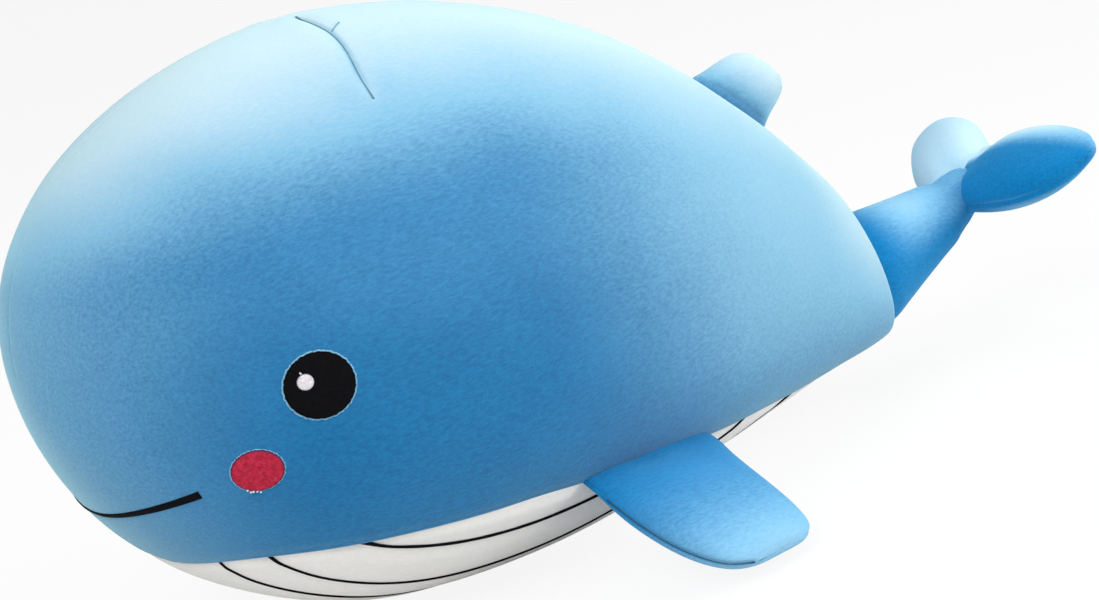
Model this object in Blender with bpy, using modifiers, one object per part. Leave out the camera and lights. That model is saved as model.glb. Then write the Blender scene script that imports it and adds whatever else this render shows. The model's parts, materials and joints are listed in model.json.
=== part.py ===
"""A plush whale about half a metre long, sewn from short-pile panels and stuffed with loose fibre.

Metres, +Z up. The whale faces -X and lies on its belly; its left side is -Y. The origin is the middle of the
small flat that the belly rests on. Every fabric panel is a thin shell, every stuffed form holds its own
filling, and each limb hangs from an empty that lies on the seam it bends about.
"""

import math
from dataclasses import dataclass

import bmesh
import bpy
from mathutils import Matrix, Vector

# Fabric, seams and embroidery
PANEL = 0.0015
LIMB_PANEL = 0.0012
SEAM_GAP = 0.0007
CLEARANCE = 0.0003
FILLING_INSET = 0.0028
EMBROIDERY = 0.0010
EMBROIDERY_LIFT = 0.0005
WELD = 0.000001
OVERRUN = 0.020

# Body: an egg whose half widths, heights and middle line follow Bernstein shares from nose to tail
BODY_LENGTH = 0.416
BODY_WIDTH = 0.215
BODY_HEIGHT = 0.242
REST_DEPTH = 0.0005
WIDTH_SHARES = (1.21, 1.11, 0.98, 0.81, 0.605)
BACK_SHARES = (1.145, 1.128, 1.066, 0.905, 0.707)
BELLY_SHARES = (1.281, 1.083, 0.905, 0.711, 0.479)
MIDDLE_SHARES = (0.19, 0.054, 0.0, -0.029, -0.632)
BACK_POWER = 2.0
BELLY_POWER = 2.4
KEEL_SAMPLES = 400
NOSE_STEPS = 5
LEAF_STEPS = 22
REAR_STEPS = 5
SIDE_STEPS = 10
BELLY_STEPS = 8
FILLING_STATIONS = 14
FILLING_STEPS = 16

# Belly seam: a plane that falls towards the tail, as shares of the body's height at its two ends
SEAM_FRONT_SHARE = 0.238
SEAM_REAR_SHARE = 0.0745
LEAF_TIP_SHARE = 0.004

# Tail: a ball in a socket at the body's open end, tapering to the pinch
TAIL_SHARE = 0.957
TAIL_RING_CLEARANCE = 0.0009
TAIL_SOCKET_CLEARANCE = 0.0012
TAIL_PITCH = math.radians(13.3)
TAIL_LENGTH = 0.0615
TAIL_COLLAR = 0.003
TAIL_FILLING_SETBACK = 0.002
TAIL_FILLING_INSET = 0.0019
PINCH_RADIUS = 0.017
PINCH_ROUND = 0.006
TAIL_MOUTH_SHARE = 0.4
TAIL_BALL_START = math.radians(145)
TAIL_BALL_END = math.radians(76)
TAIL_HALF_TURN_STEPS = 9
TAIL_FILLING_STEPS = 12
TAIL_BALL_STEPS = 6
TAIL_NECK_STEPS = 4
TAIL_END_STEPS = 3

# Flukes: two lobes behind the pinch, each sewn along the middle line
FLUKE_PITCH = math.radians(24)
FLUKE_ROOT = 0.037
FLUKE_REACH = 0.0665
FLUKE_HALF_THICKNESS = 0.0098
FLUKE_HINGE_INSET = 0.0035
FLUKE_START_GAP = -0.0008
FLUKE_FILLING_INSET = 0.0020

# Pectoral fins: sewn into the belly seam
FIN_FRONT_SHARE = 0.441
FIN_REAR_SHARE = 0.620
FIN_REACH = 0.077
FIN_HALF_THICKNESS = 0.0078
FIN_HINGE_INSET = 0.003
FIN_FILLING_INSET = 0.0027
FIN_DROOP = math.radians(21.5)

# Dorsal fin: sewn into the back seam
DORSAL_FRONT_SHARE = 0.786
DORSAL_REAR_SHARE = 0.882
DORSAL_REACH = 0.0235
DORSAL_HALF_THICKNESS = 0.0088
DORSAL_HINGE_INSET = 0.005
DORSAL_FILLING_INSET = 0.0022

# Limb panels
LIMB_STEPS = (8, 7)
DORSAL_STEPS = (6, 6)
LIMB_FILLING_RINGS = 6
LIMB_FILLING_STEPS = 10
LIMB_FILLING_OUTLINE_INSET = 0.0050

# Face: places are shares of the body's length from the nose and of its height
EYE_WIDTH = 0.0270
EYE_HEIGHT = 0.0255
EYE_PLACE_SHARES = (0.194, 0.488)
EYE_HIGHLIGHT = 0.0068
EYE_HIGHLIGHT_SHARES = (0.21, 0.06)
CHEEK_WIDTH = 0.0205
CHEEK_HEIGHT = 0.0175
CHEEK_PLACE_SHARES = (0.1308, 0.378)
CHEEK_TILT = math.radians(-14)
MOUTH_WIDTH_SHARE = 0.595
MOUTH_HEIGHT_SHARE = 0.3135
MOUTH_RISE_SHARE = 0.0425
MOUTH_RISE_POWER = 1.5
MOUTH_LINE_WIDTH = 0.0032
MOUTH_THINNEST_SHARE = 0.45
MOUTH_STEPS = 28
PATCH_SEGMENTS = 24
HIGHLIGHT_SEGMENTS = 12

# Belly grooves: embroidered lines that start and end at the belly seam, from the outermost to the innermost
GROOVE_LINE_WIDTH = 0.0024
GROOVE_STEPS = 22
GROOVE_SEAM_INSET = 0.0012
GROOVE_WIDTH_SHARES = (0.766, 0.565, 0.395)
GROOVE_BOW_SHARES = (1.86, 0.20, 0.10)
GROOVE_BOW_CENTRE_SHARE = 0.36


def blend(shares, place):
    """Bernstein mix of the shares at a place from 0 to 1."""
    top = len(shares) - 1
    return sum(
        math.comb(top, i) * place**i * (1 - place) ** (top - i) * share
        for i, share in enumerate(shares)
    )


def blend_pair(pairs, place):
    """The same mix for pairs of shares."""
    return blend([u for u, _ in pairs], place), blend([v for _, v in pairs], place)


def section(station):
    """Half width, back height, belly depth and middle line of the egg's section, before it is lifted."""
    place = (station + 1) / 2
    girth = math.sqrt(max(0.0, 1 - station**2))
    return (
        girth * BODY_WIDTH / 2 * blend(WIDTH_SHARES, place),
        girth * BODY_HEIGHT / 2 * blend(BACK_SHARES, place),
        girth * BODY_HEIGHT / 2 * blend(BELLY_SHARES, place),
        BODY_HEIGHT / 2 * blend(MIDDLE_SHARES, place),
    )


def lowest_keel():
    """The keel's lowest height, before the egg is lifted, and its share of the way from nose to tail."""
    heights = []
    for i in range(KEEL_SAMPLES):
        share = i / (KEEL_SAMPLES - 1)
        _, _, depth, middle = section(2 * share - 1)
        heights.append((middle - depth, share))
    return min(heights)


KEEL_DEPTH, REST_SHARE = lowest_keel()
LIFT = -KEEL_DEPTH - REST_DEPTH
NOSE_X = -REST_SHARE * BODY_LENGTH
MIDDLE_X = NOSE_X + BODY_LENGTH / 2


def body_x(share):
    """The x at this share of the way from nose to tail."""
    return NOSE_X + share * BODY_LENGTH


def seam_height(x):
    """The belly seam's height at this x."""
    share = (x - NOSE_X) / BODY_LENGTH
    return BODY_HEIGHT * (SEAM_FRONT_SHARE + (SEAM_REAR_SHARE - SEAM_FRONT_SHARE) * share)


def egg_point(station, angle):
    """A point of the egg: station runs from -1 at the nose to 1, angle from 0 at the back to pi at the keel."""
    half_width, back, belly, middle = section(station)
    across, up = math.sin(angle), math.cos(angle)
    power = BELLY_POWER if up < 0 else BACK_POWER
    across = math.copysign(abs(across) ** (2 / power), across)
    up = math.copysign(abs(up) ** (2 / power), up)
    return Vector(
        (
            MIDDLE_X + BODY_LENGTH / 2 * station,
            -half_width * across,
            LIFT + middle + (back if up > 0 else belly) * up,
        )
    )


def egg_side(x, z, lift=0.0):
    """The point of the egg's left side at this x and z, moved out along the surface by a lift."""
    station = (x - MIDDLE_X) / (BODY_LENGTH / 2)
    half_width, back, belly, middle = section(station)
    rise = z - LIFT - middle
    power = BACK_POWER if rise > 0 else BELLY_POWER
    share = min(1.0, abs(rise) / (back if rise > 0 else belly))
    point = Vector((x, -half_width * (1 - share**power) ** (1 / power), z))
    return point + egg_normal(point) * lift


def egg_level(point):
    """Below 1 inside the egg, 1 on it and above 1 outside."""
    station = max(-1.0, min(1.0, (point.x - MIDDLE_X) / (BODY_LENGTH / 2)))
    half_width, back, belly, middle = section(station)
    rise = point.z - LIFT - middle
    power = BACK_POWER if rise > 0 else BELLY_POWER
    height = back if rise > 0 else belly
    if half_width <= WELD or height <= WELD:
        return math.inf
    return (abs(point.y) / half_width) ** power + (abs(rise) / height) ** power


def egg_normal(point):
    """The outward direction of the egg's surface at a point on it."""
    step = PANEL
    slope = [
        min(egg_level(point + side * step), step / WELD) - min(egg_level(point - side * step), step / WELD)
        for side in (Vector((1, 0, 0)), Vector((0, 1, 0)), Vector((0, 0, 1)))
    ]
    return Vector(slope).normalized()


def egg_from_inside(start, direction, lift):
    """Where a ray from inside the egg meets its surface, moved out by a lift."""
    near, far = 0.0, BODY_LENGTH
    for _ in range(48):
        middle = (near + far) / 2
        if egg_level(start + direction * middle) < 1:
            near = middle
        else:
            far = middle
    point = start + direction * near
    return point + egg_normal(point) * lift


def seam_angle(station, gap):
    """The angle at which the egg's section crosses the belly seam, or pi where it lies above the seam."""
    _, _, belly, middle = section(station)
    x = MIDDLE_X + BODY_LENGTH / 2 * station
    drop = LIFT + middle - (seam_height(x) + gap)
    if belly <= 0 or drop >= belly:
        return math.pi
    return math.acos(-((max(0.0, drop) / belly) ** (BELLY_POWER / 2)))


def leaf_ends():
    """The first and last station that the belly seam crosses."""
    inside = [
        2 * i / (KEEL_SAMPLES - 1) - 1
        for i in range(KEEL_SAMPLES)
        if seam_angle(2 * i / (KEEL_SAMPLES - 1) - 1, 0.0) < math.pi
    ]
    return min(inside), max(inside)


def material(name, colour, roughness, sheen=0.0):
    """A Principled fabric or thread."""
    made = bpy.data.materials.new(name)
    made.use_nodes = True
    shader = made.node_tree.nodes["Principled BSDF"]
    shader.inputs["Base Color"].default_value = (*colour, 1.0)
    shader.inputs["Roughness"].default_value = roughness
    shader.inputs["Metallic"].default_value = 0.0
    shader.inputs["Sheen Weight"].default_value = sheen
    made.diffuse_color = (*colour, 1.0)
    return made


def clear_scene():
    """Removes what the startup scene holds."""
    for obj in list(bpy.data.objects):
        bpy.data.objects.remove(obj, do_unlink=True)


def new_collection(name, hidden=False):
    """A collection in the scene."""
    made = bpy.data.collections.new(name)
    made.hide_render = hidden
    bpy.context.scene.collection.children.link(made)
    return made


clear_scene()
WHALE = new_collection("plush_whale")
CUTTERS = new_collection("cutters", hidden=True)
BLUE = material("blue_pile", (0.087, 0.313, 0.610), 0.9, 0.3)
LIGHT_BLUE = material("light_blue_pile", (0.127, 0.434, 0.745), 0.9, 0.3)
WHITE = material("white_pile", (0.72, 0.72, 0.69), 0.9, 0.2)
FIBRE = material("filling_fibre", (0.86, 0.86, 0.84), 1.0)
BLACK_THREAD = material("black_thread", (0.006, 0.006, 0.008), 0.45)
WHITE_THREAD = material("white_thread", (0.70, 0.69, 0.71), 0.5)
PINK_THREAD = material("pink_thread", (0.429, 0.022, 0.050), 0.5)


def place(name, bm, finish, parent=None, smooth=True):
    """Makes a mesh the named object, in world places, and keeps them under a parent."""
    bm.normal_update()
    bmesh.ops.recalc_face_normals(bm, faces=bm.faces)
    mesh = bpy.data.meshes.new(name)
    bm.to_mesh(mesh)
    bm.free()
    mesh.materials.append(finish)
    obj = bpy.data.objects.new(name, mesh)
    WHALE.objects.link(obj)
    if smooth:
        mesh.shade_smooth()
    if parent:
        mesh.transform(parent.matrix_world.inverted())
        obj.parent = parent
    return obj


def solidify(obj, thickness, offset):
    """Gives an open surface its wall."""
    wall = obj.modifiers.new("wall", "SOLIDIFY")
    wall.thickness = thickness
    wall.offset = offset
    wall.use_rim = True
    return obj


def sheet(u_steps, v_steps, point):
    """A grid primitive whose corners (u, v), each from 0 to 1, are moved to point(u, v)."""
    bm = bmesh.new()
    bmesh.ops.create_grid(bm, x_segments=u_steps, y_segments=v_steps, size=1.0)
    for vert in bm.verts:
        vert.co = point((vert.co.x + 1) / 2, (vert.co.y + 1) / 2)
    bmesh.ops.remove_doubles(bm, verts=bm.verts, dist=WELD)
    return bm


def face_outwards(bm, centre):
    """Turns an open sheet's faces away from a point that lies behind it."""
    bmesh.ops.recalc_face_normals(bm, faces=bm.faces)
    bm.normal_update()
    turned = sum(face.normal.dot(face.calc_center_median() - centre) * face.calc_area() for face in bm.faces)
    if turned < 0:
        bmesh.ops.reverse_faces(bm, faces=bm.faces)


def place_sheet(name, bm, centre, finish, thickness, outwards=False, parent=None):
    """Places an open sheet and gives it a wall, inwards for a panel and outwards for embroidery."""
    face_outwards(bm, centre)
    mesh = bpy.data.meshes.new(name)
    bm.to_mesh(mesh)
    bm.free()
    mesh.materials.append(finish)
    mesh.shade_smooth()
    obj = bpy.data.objects.new(name, mesh)
    WHALE.objects.link(obj)
    if parent:
        mesh.transform(parent.matrix_world.inverted())
        obj.parent = parent
    return solidify(obj, thickness, 1.0 if outwards else -1.0)


def mirrored(bm):
    """The same sheet on the whale's other side."""
    for vert in bm.verts:
        vert.co.y = -vert.co.y
    bmesh.ops.reverse_faces(bm, faces=bm.faces)
    return bm


def tail_place():
    """The tail's joint, in the middle of the body's section there."""
    _, back, belly, middle = section(2 * TAIL_SHARE - 1)
    return Vector((body_x(TAIL_SHARE), 0, LIFT + middle + (back - belly) / 2))


TAIL_JOINT = tail_place()
TAIL_AXIS = Vector((math.cos(TAIL_PITCH), 0, math.sin(TAIL_PITCH)))
TAIL_RING_X = TAIL_JOINT.x - TAIL_COLLAR
TAIL_RING_HALF_WIDTH = section(2 * (TAIL_RING_X - NOSE_X) / BODY_LENGTH - 1)[0]
TAIL_BALL_RADIUS = TAIL_RING_HALF_WIDTH - PANEL - TAIL_RING_CLEARANCE
TAIL_MOUTH_RADIUS = PINCH_RADIUS * TAIL_MOUTH_SHARE
BODY_CENTRE = Vector((MIDDLE_X, 0, LIFT))
LEAF_START, LEAF_END = leaf_ends()


def cut_at_tail(bm, setback=0.0, closed=False):
    """Cuts the egg open across the tail's axis, and closes a solid one again."""
    cut = bmesh.ops.bisect_plane(
        bm,
        geom=bm.verts[:] + bm.edges[:] + bm.faces[:],
        plane_co=TAIL_JOINT - TAIL_AXIS * (TAIL_COLLAR + setback),
        plane_no=TAIL_AXIS,
        clear_outer=True,
    )
    if closed:
        edges = [item for item in cut["geom_cut"] if isinstance(item, bmesh.types.BMEdge)]
        bmesh.ops.holes_fill(bm, edges=edges)
    return bm


def side_station(along):
    """The side panel's stations: those of the belly panel, and some before and behind it."""
    step = along * (NOSE_STEPS + LEAF_STEPS + REAR_STEPS)
    if step <= NOSE_STEPS:
        return -1 + (1 + LEAF_START) * (step / NOSE_STEPS) ** 2
    step -= NOSE_STEPS
    if step <= LEAF_STEPS:
        return leaf_station(step / LEAF_STEPS)
    return LEAF_END + (1 - LEAF_END) * (step - LEAF_STEPS) / REAR_STEPS


def leaf_station(along):
    """Stations between the belly panel's tips, closer together near them."""
    return (LEAF_START + LEAF_END) / 2 - (LEAF_END - LEAF_START) / 2 * math.cos(math.pi * along)


def side_panel_point(along, around):
    """The left side panel, from the back seam down to the belly seam."""
    station = side_station(along)
    end = seam_angle(station, SEAM_GAP / 2)
    point = egg_point(station, around * end)
    point.y = min(point.y, -SEAM_GAP / 2)
    return point


def belly_panel_point(along, around):
    """The belly panel, a leaf between the two lines of the belly seam."""
    margin = (LEAF_END - LEAF_START) * LEAF_TIP_SHARE / 2
    station = max(LEAF_START + margin, min(LEAF_END - margin, leaf_station(along)))
    start = seam_angle(station, -SEAM_GAP / 2)
    return egg_point(station, start + around * 2 * (math.pi - start))


def build_body():
    """The two side panels, the belly panel and the filling with its socket for the tail."""
    left = cut_at_tail(sheet(NOSE_STEPS + LEAF_STEPS + REAR_STEPS, SIDE_STEPS, side_panel_point))
    right = mirrored(left.copy())
    place_sheet("body_panel_left", left, BODY_CENTRE, BLUE, PANEL)
    place_sheet("body_panel_right", right, BODY_CENTRE, BLUE, PANEL)
    belly = sheet(LEAF_STEPS, BELLY_STEPS, belly_panel_point)
    panel = place_sheet("belly_panel", belly, BODY_CENTRE, WHITE, PANEL)
    flatten_rest(panel)
    filling = bmesh.new()
    bmesh.ops.create_uvsphere(filling, u_segments=FILLING_STEPS, v_segments=FILLING_STATIONS, radius=1.0)
    for vert in filling.verts:
        angle = math.atan2(vert.co.y, vert.co.x)
        vert.co = egg_point(max(-1.0, min(1.0, vert.co.z)), angle)
    filling.normal_update()
    bmesh.ops.recalc_face_normals(filling, faces=filling.faces)
    for vert, normal in [(vert, vert.normal.copy()) for vert in filling.verts]:
        vert.co -= normal * FILLING_INSET
    core = place("body_filling", cut_at_tail(filling, TAIL_FILLING_SETBACK, closed=True), FIBRE)
    socket = bmesh.new()
    bmesh.ops.create_uvsphere(
        socket,
        u_segments=2 * TAIL_HALF_TURN_STEPS,
        v_segments=FILLING_STATIONS,
        radius=TAIL_BALL_RADIUS + TAIL_SOCKET_CLEARANCE,
        matrix=Matrix.Translation(TAIL_JOINT) @ tail_turn(),
    )
    cut(core, "tail_socket", socket)


def cut(obj, name, bm):
    """Takes a shape out of an object with a Boolean."""
    mesh = bpy.data.meshes.new(name)
    bm.normal_update()
    bmesh.ops.recalc_face_normals(bm, faces=bm.faces)
    bm.to_mesh(mesh)
    bm.free()
    cutter = bpy.data.objects.new(name, mesh)
    cutter.hide_render = True
    cutter.display_type = "WIRE"
    CUTTERS.objects.link(cutter)
    taken = obj.modifiers.new(name, "BOOLEAN")
    taken.operation = "DIFFERENCE"
    taken.solver = "EXACT"
    taken.object = cutter


def flatten_rest(panel):
    """Cuts the belly flat where the whale rests."""
    block = bmesh.new()
    bmesh.ops.create_cube(
        block,
        size=1.0,
        matrix=Matrix.Translation((0, 0, -OVERRUN / 2)) @ Matrix.Diagonal((BODY_LENGTH, BODY_WIDTH, OVERRUN, 1)),
    )
    cut(panel, "rest_plane", block)


def tail_turn():
    """Local Z along the tail, local X up and local Y to the whale's left."""
    up = Vector((-math.sin(TAIL_PITCH), 0, math.cos(TAIL_PITCH)))
    left = TAIL_AXIS.cross(up)
    return Matrix((up, left, TAIL_AXIS)).transposed().to_4x4()


def hinge(name, origin, along, outward, parent=None):
    """An empty on a joint: its X axis is the hinge line and its Y axis points out along the limb."""
    along = along.normalized()
    normal = along.cross(outward).normalized()
    outward = normal.cross(along)
    empty = bpy.data.objects.new(name, None)
    empty.empty_display_size = FIN_HINGE_INSET
    WHALE.objects.link(empty)
    empty.matrix_world = Matrix.Translation(origin) @ Matrix((along, outward, normal)).transposed().to_4x4()
    if parent:
        empty.parent = parent
        empty.matrix_parent_inverse = parent.matrix_world.inverted()
    bpy.context.view_layer.update()
    return empty


def tail_profile(inset, mouth, last_angle):
    """The tail's turned profile as (radius, distance along its axis), from the pinch back round the ball."""
    ball = TAIL_BALL_RADIUS - inset
    waist = PINCH_RADIUS - inset
    neck = TAIL_LENGTH - inset - PINCH_ROUND
    profile = []
    for i in range(TAIL_END_STEPS + 1):
        turn = math.pi / 2 * i / TAIL_END_STEPS
        profile.append((mouth + (waist - mouth) * math.sin(turn), neck + PINCH_ROUND * math.cos(turn)))
    start = Vector((ball * math.sin(TAIL_BALL_END), ball * math.cos(TAIL_BALL_END)))
    slope = Vector((-math.cos(TAIL_BALL_END), math.sin(TAIL_BALL_END)))
    bend = start + slope * (neck - start.y) / 2
    for i in range(1, TAIL_NECK_STEPS):
        share = 1 - i / TAIL_NECK_STEPS
        profile.append((blend((start.x, bend.x, waist), share), blend((start.y, bend.y, neck), share)))
    for i in range(TAIL_BALL_STEPS + 1):
        angle = TAIL_BALL_END + (last_angle - TAIL_BALL_END) * i / TAIL_BALL_STEPS
        profile.append((ball * math.sin(angle), ball * math.cos(angle)))
    return profile


def turned(name, profile, turn, finish, parent, angle, steps, shift=0.0):
    """A profile turned about the tail's axis by a Screw modifier."""
    mesh = bpy.data.meshes.new(name)
    points = [(radius, 0.0, height) for radius, height in profile]
    mesh.from_pydata(points, [(i, i + 1) for i in range(len(points) - 1)], [])
    mesh.materials.append(finish)
    obj = bpy.data.objects.new(name, mesh)
    WHALE.objects.link(obj)
    obj.parent = parent
    obj.matrix_parent_inverse = parent.matrix_world.inverted()
    obj.matrix_world = Matrix.Translation(TAIL_JOINT + Vector((0, shift, 0))) @ tail_turn() @ turn
    screw = obj.modifiers.new("turn", "SCREW")
    screw.angle = angle
    screw.steps = screw.render_steps = steps
    screw.use_merge_vertices = True
    screw.merge_threshold = WELD
    screw.use_smooth_shade = True
    return obj


def build_tail():
    """The tail stock: two half-turned panels round a filling, with a ball that turns in the body's socket."""
    joint = hinge("tail_joint", TAIL_JOINT, Vector((0, 1, 0)), TAIL_AXIS)
    shell = tail_profile(0.0, TAIL_MOUTH_RADIUS, TAIL_BALL_START)
    for name, turn, shift in (
        ("tail_panel_left", Matrix.Identity(4), -SEAM_GAP / 2),
        ("tail_panel_right", Matrix.Rotation(math.pi, 4, "Z"), SEAM_GAP / 2),
    ):
        panel = turned(name, shell, turn, LIGHT_BLUE, joint, math.pi, TAIL_HALF_TURN_STEPS, shift)
        solidify(panel, LIMB_PANEL, -1.0)
    core = tail_profile(TAIL_FILLING_INSET, 0.0, math.pi)
    turned("tail_filling", core, Matrix.Identity(4), FIBRE, joint, 2 * math.pi, TAIL_FILLING_STEPS)
    return joint


@dataclass(frozen=True)
class Limb:
    """A stuffed limb of two panels: its outline is given as shares of its root length and its reach."""

    name: str
    panels: tuple
    root: float
    reach: float
    half_thickness: float
    hinge_inset: float
    filling_inset: float
    leading_shares: tuple
    trailing_shares: tuple
    thickness_shares: tuple
    steps: tuple = LIMB_STEPS

    def point(self, across, along, inset=0.0, thickness_inset=0.0):
        """A point on the upper half, in the hinge's axes: across and along run from 0 to 1."""
        chord = (1 - math.cos(math.pi * across)) / 2
        span = (1 - math.cos(math.pi * along)) / 2
        lead_u, lead_v = blend_pair(self.leading_shares, span)
        trail_u, trail_v = blend_pair(self.trailing_shares, span)
        lead = Vector((lead_u * self.root, lead_v * self.reach))
        trail = Vector((trail_u * self.root, trail_v * self.reach))
        middle = (lead + trail) / 2
        place_2d = lead.lerp(trail, chord)
        place_2d = middle + (place_2d - middle) * max(0.0, 1 - 2 * inset / max(inset, (trail - lead).length))
        place_2d.y = inset + place_2d.y * (1 - 2 * inset / self.reach)
        full = self.half_thickness * blend(self.thickness_shares, span) - thickness_inset
        height = full * math.sin(math.pi * across) * math.sin(math.pi * along)
        return Vector((place_2d.x, place_2d.y - self.hinge_inset, height))

    def panel(self, side):
        """An open sheet for one panel: side is 1 for the upper one and -1 for the lower one."""

        def point(across, along):
            spot = self.point(across, along)
            spot.z *= side
            return spot

        return sheet(*self.steps, point)

    def far_side(self, side):
        """A block that takes all of a panel beyond the seam's gap."""
        block = bmesh.new()
        wide = 2 * (self.root + self.reach)
        low = Matrix.Translation((0, 0, side * (SEAM_GAP - OVERRUN) / 2))
        bmesh.ops.create_cube(block, size=1.0, matrix=low @ Matrix.Diagonal((wide, wide, OVERRUN, 1)))
        return block

    def filling(self):
        """A closed pillow a little smaller than the panels."""
        bm = bmesh.new()
        bmesh.ops.create_uvsphere(
            bm, u_segments=LIMB_FILLING_STEPS, v_segments=LIMB_FILLING_RINGS, radius=1.0
        )
        for vert in bm.verts:
            x, y, z = vert.co.x, vert.co.z, vert.co.y
            ring = math.sqrt(max(WELD, 1 - y * y))
            across = math.acos(max(-1.0, min(1.0, -x / ring))) / math.pi
            along = math.acos(max(-1.0, min(1.0, -y))) / math.pi
            spot = self.point(across, along, LIMB_FILLING_OUTLINE_INSET, self.filling_inset)
            vert.co = Vector((spot.x, spot.y, math.copysign(spot.z, z)))
        bmesh.ops.remove_doubles(bm, verts=bm.verts, dist=WELD)
        return bm

    def build(self, joint, finish):
        """Both panels and the filling, hung from the joint."""
        world = joint.matrix_world
        centre = world @ Vector((self.root / 2, self.reach / 2, 0))
        for name, side in zip(self.panels, (1, -1)):
            bm = self.panel(side)
            bm.transform(world)
            panel = place_sheet(name, bm, centre, finish, LIMB_PANEL, parent=joint)
            block = self.far_side(side)
            block.transform(world)
            cut(panel, f"{name}_seam", block)
        bm = self.filling()
        bm.transform(world)
        place(f"{self.name}_filling", bm, FIBRE, parent=joint)


def seam_point(x):
    """The point of the left belly seam at this x."""
    return egg_side(x, seam_height(x))


def ridge_point(x):
    """The point of the back seam at this x."""
    return egg_point((x - MIDDLE_X) / (BODY_LENGTH / 2), 0.0)


def seat_hinge(curve, front_x, rear_x, outward, inset):
    """The hinge line's start, direction and length, set so that the limb's root just clears a curved seam."""
    front, rear = curve(front_x), curve(rear_x)
    along = (rear - front).normalized()
    outward = (outward - along * outward.dot(along)).normalized()
    bulge = max(
        (curve(front_x + (rear_x - front_x) * i / KEEL_SAMPLES) - front).dot(outward)
        for i in range(KEEL_SAMPLES)
    )
    start = front + outward * (bulge + inset)
    return start, along, outward, (rear - front).length


FIN_LEADING_SHARES = ((0.0, 0.0), (-0.05, 0.30), (-0.10, 0.85), (0.14, 1.0))
FIN_TRAILING_SHARES = ((1.0, 0.0), (0.88, 0.35), (0.84, 0.85), (0.52, 1.0))
FIN_THICKNESS_SHARES = (1.0, 1.35, 0.9, 0.7)
DORSAL_LEADING_SHARES = ((0.0, 0.0), (0.12, 0.45), (0.28, 0.95), (0.58, 1.0))
DORSAL_TRAILING_SHARES = ((1.0, 0.0), (0.95, 0.40), (0.98, 0.95), (0.74, 1.0))
DORSAL_THICKNESS_SHARES = (1.1, 1.1, 0.9, 0.8)
FLUKE_LEADING_SHARES = ((0.0, 0.0), (0.20, 0.30), (-0.10, 0.80), (1.00, 1.0))
FLUKE_TRAILING_SHARES = ((1.0, 0.0), (1.35, 0.20), (1.95, 0.60), (1.62, 1.0))
FLUKE_THICKNESS_SHARES = (1.1, 1.25, 1.05, 0.8)


def build_fins():
    """The two pectoral fins, drooping from the belly seam."""
    outward = Vector((0, -math.cos(FIN_DROOP), -math.sin(FIN_DROOP)))
    start, along, outward, root = seat_hinge(
        seam_point, body_x(FIN_FRONT_SHARE), body_x(FIN_REAR_SHARE), outward, FIN_HINGE_INSET
    )
    for side, mirror in (("left", 1), ("right", -1)):
        flip = Vector((1, mirror, 1))
        joint = hinge(f"fin_{side}_joint", start * flip, along * flip, outward * flip)
        upper, lower = f"fin_{side}_upper_panel", f"fin_{side}_lower_panel"
        names = (lower, upper) if mirror > 0 else (upper, lower)
        Limb(
            f"fin_{side}",
            names,
            root,
            FIN_REACH,
            FIN_HALF_THICKNESS,
            FIN_HINGE_INSET,
            FIN_FILLING_INSET,
            FIN_LEADING_SHARES,
            FIN_TRAILING_SHARES,
            FIN_THICKNESS_SHARES,
        ).build(joint, LIGHT_BLUE)


def build_dorsal_fin():
    """The dorsal fin, standing on the back seam."""
    front, rear = body_x(DORSAL_FRONT_SHARE), body_x(DORSAL_REAR_SHARE)
    start, along, outward, root = seat_hinge(
        ridge_point, front, rear, Vector((0, 0, 1)), DORSAL_HINGE_INSET
    )
    joint = hinge("dorsal_fin_joint", start, along, outward)
    Limb(
        "dorsal_fin",
        ("dorsal_fin_left_panel", "dorsal_fin_right_panel"),
        root,
        DORSAL_REACH + DORSAL_HINGE_INSET,
        DORSAL_HALF_THICKNESS,
        DORSAL_HINGE_INSET,
        DORSAL_FILLING_INSET,
        DORSAL_LEADING_SHARES,
        DORSAL_TRAILING_SHARES,
        DORSAL_THICKNESS_SHARES,
        DORSAL_STEPS,
    ).build(joint, BLUE)


def build_flukes(tail):
    """The two tail lobes, behind the pinch."""
    along = Vector((math.cos(FLUKE_PITCH), 0, math.sin(FLUKE_PITCH)))
    pinch = TAIL_JOINT + TAIL_AXIS * TAIL_LENGTH + along * FLUKE_START_GAP
    offset = CLEARANCE / 2 + FLUKE_HINGE_INSET
    for side, mirror in (("left", -1), ("right", 1)):
        outward = Vector((0, mirror, 0))
        joint = hinge(f"fluke_{side}_joint", pinch + outward * offset, along, outward, tail)
        upper, lower = f"fluke_{side}_upper_panel", f"fluke_{side}_lower_panel"
        names = (lower, upper) if mirror < 0 else (upper, lower)
        Limb(
            f"fluke_{side}",
            names,
            FLUKE_ROOT,
            FLUKE_REACH,
            FLUKE_HALF_THICKNESS,
            FLUKE_HINGE_INSET,
            FLUKE_FILLING_INSET,
            FLUKE_LEADING_SHARES,
            FLUKE_TRAILING_SHARES,
            FLUKE_THICKNESS_SHARES,
        ).build(joint, LIGHT_BLUE)


def patch(width, height, place_shares, shift, tilt, segments, lift):
    """A round or oval piece of embroidery on the left side, shifted forwards and up from its place."""
    centre = egg_side(body_x(place_shares[0]), BODY_HEIGHT * place_shares[1])
    normal = egg_normal(centre)
    backwards = Vector((1, 0, 0))
    backwards = (backwards - normal * backwards.dot(normal)).normalized()
    up = backwards.cross(normal)
    up = up if up.z > 0 else -up
    centre = centre - backwards * shift[0] + up * shift[1]
    bm = bmesh.new()
    bmesh.ops.create_circle(bm, cap_ends=True, cap_tris=True, segments=segments, radius=1.0)
    for vert in bm.verts:
        u = vert.co.x * width / 2
        v = vert.co.y * height / 2
        u, v = u * math.cos(tilt) - v * math.sin(tilt), u * math.sin(tilt) + v * math.cos(tilt)
        spot = centre + backwards * u + up * v
        vert.co = egg_side(spot.x, spot.z, lift)
    return bm


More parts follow.
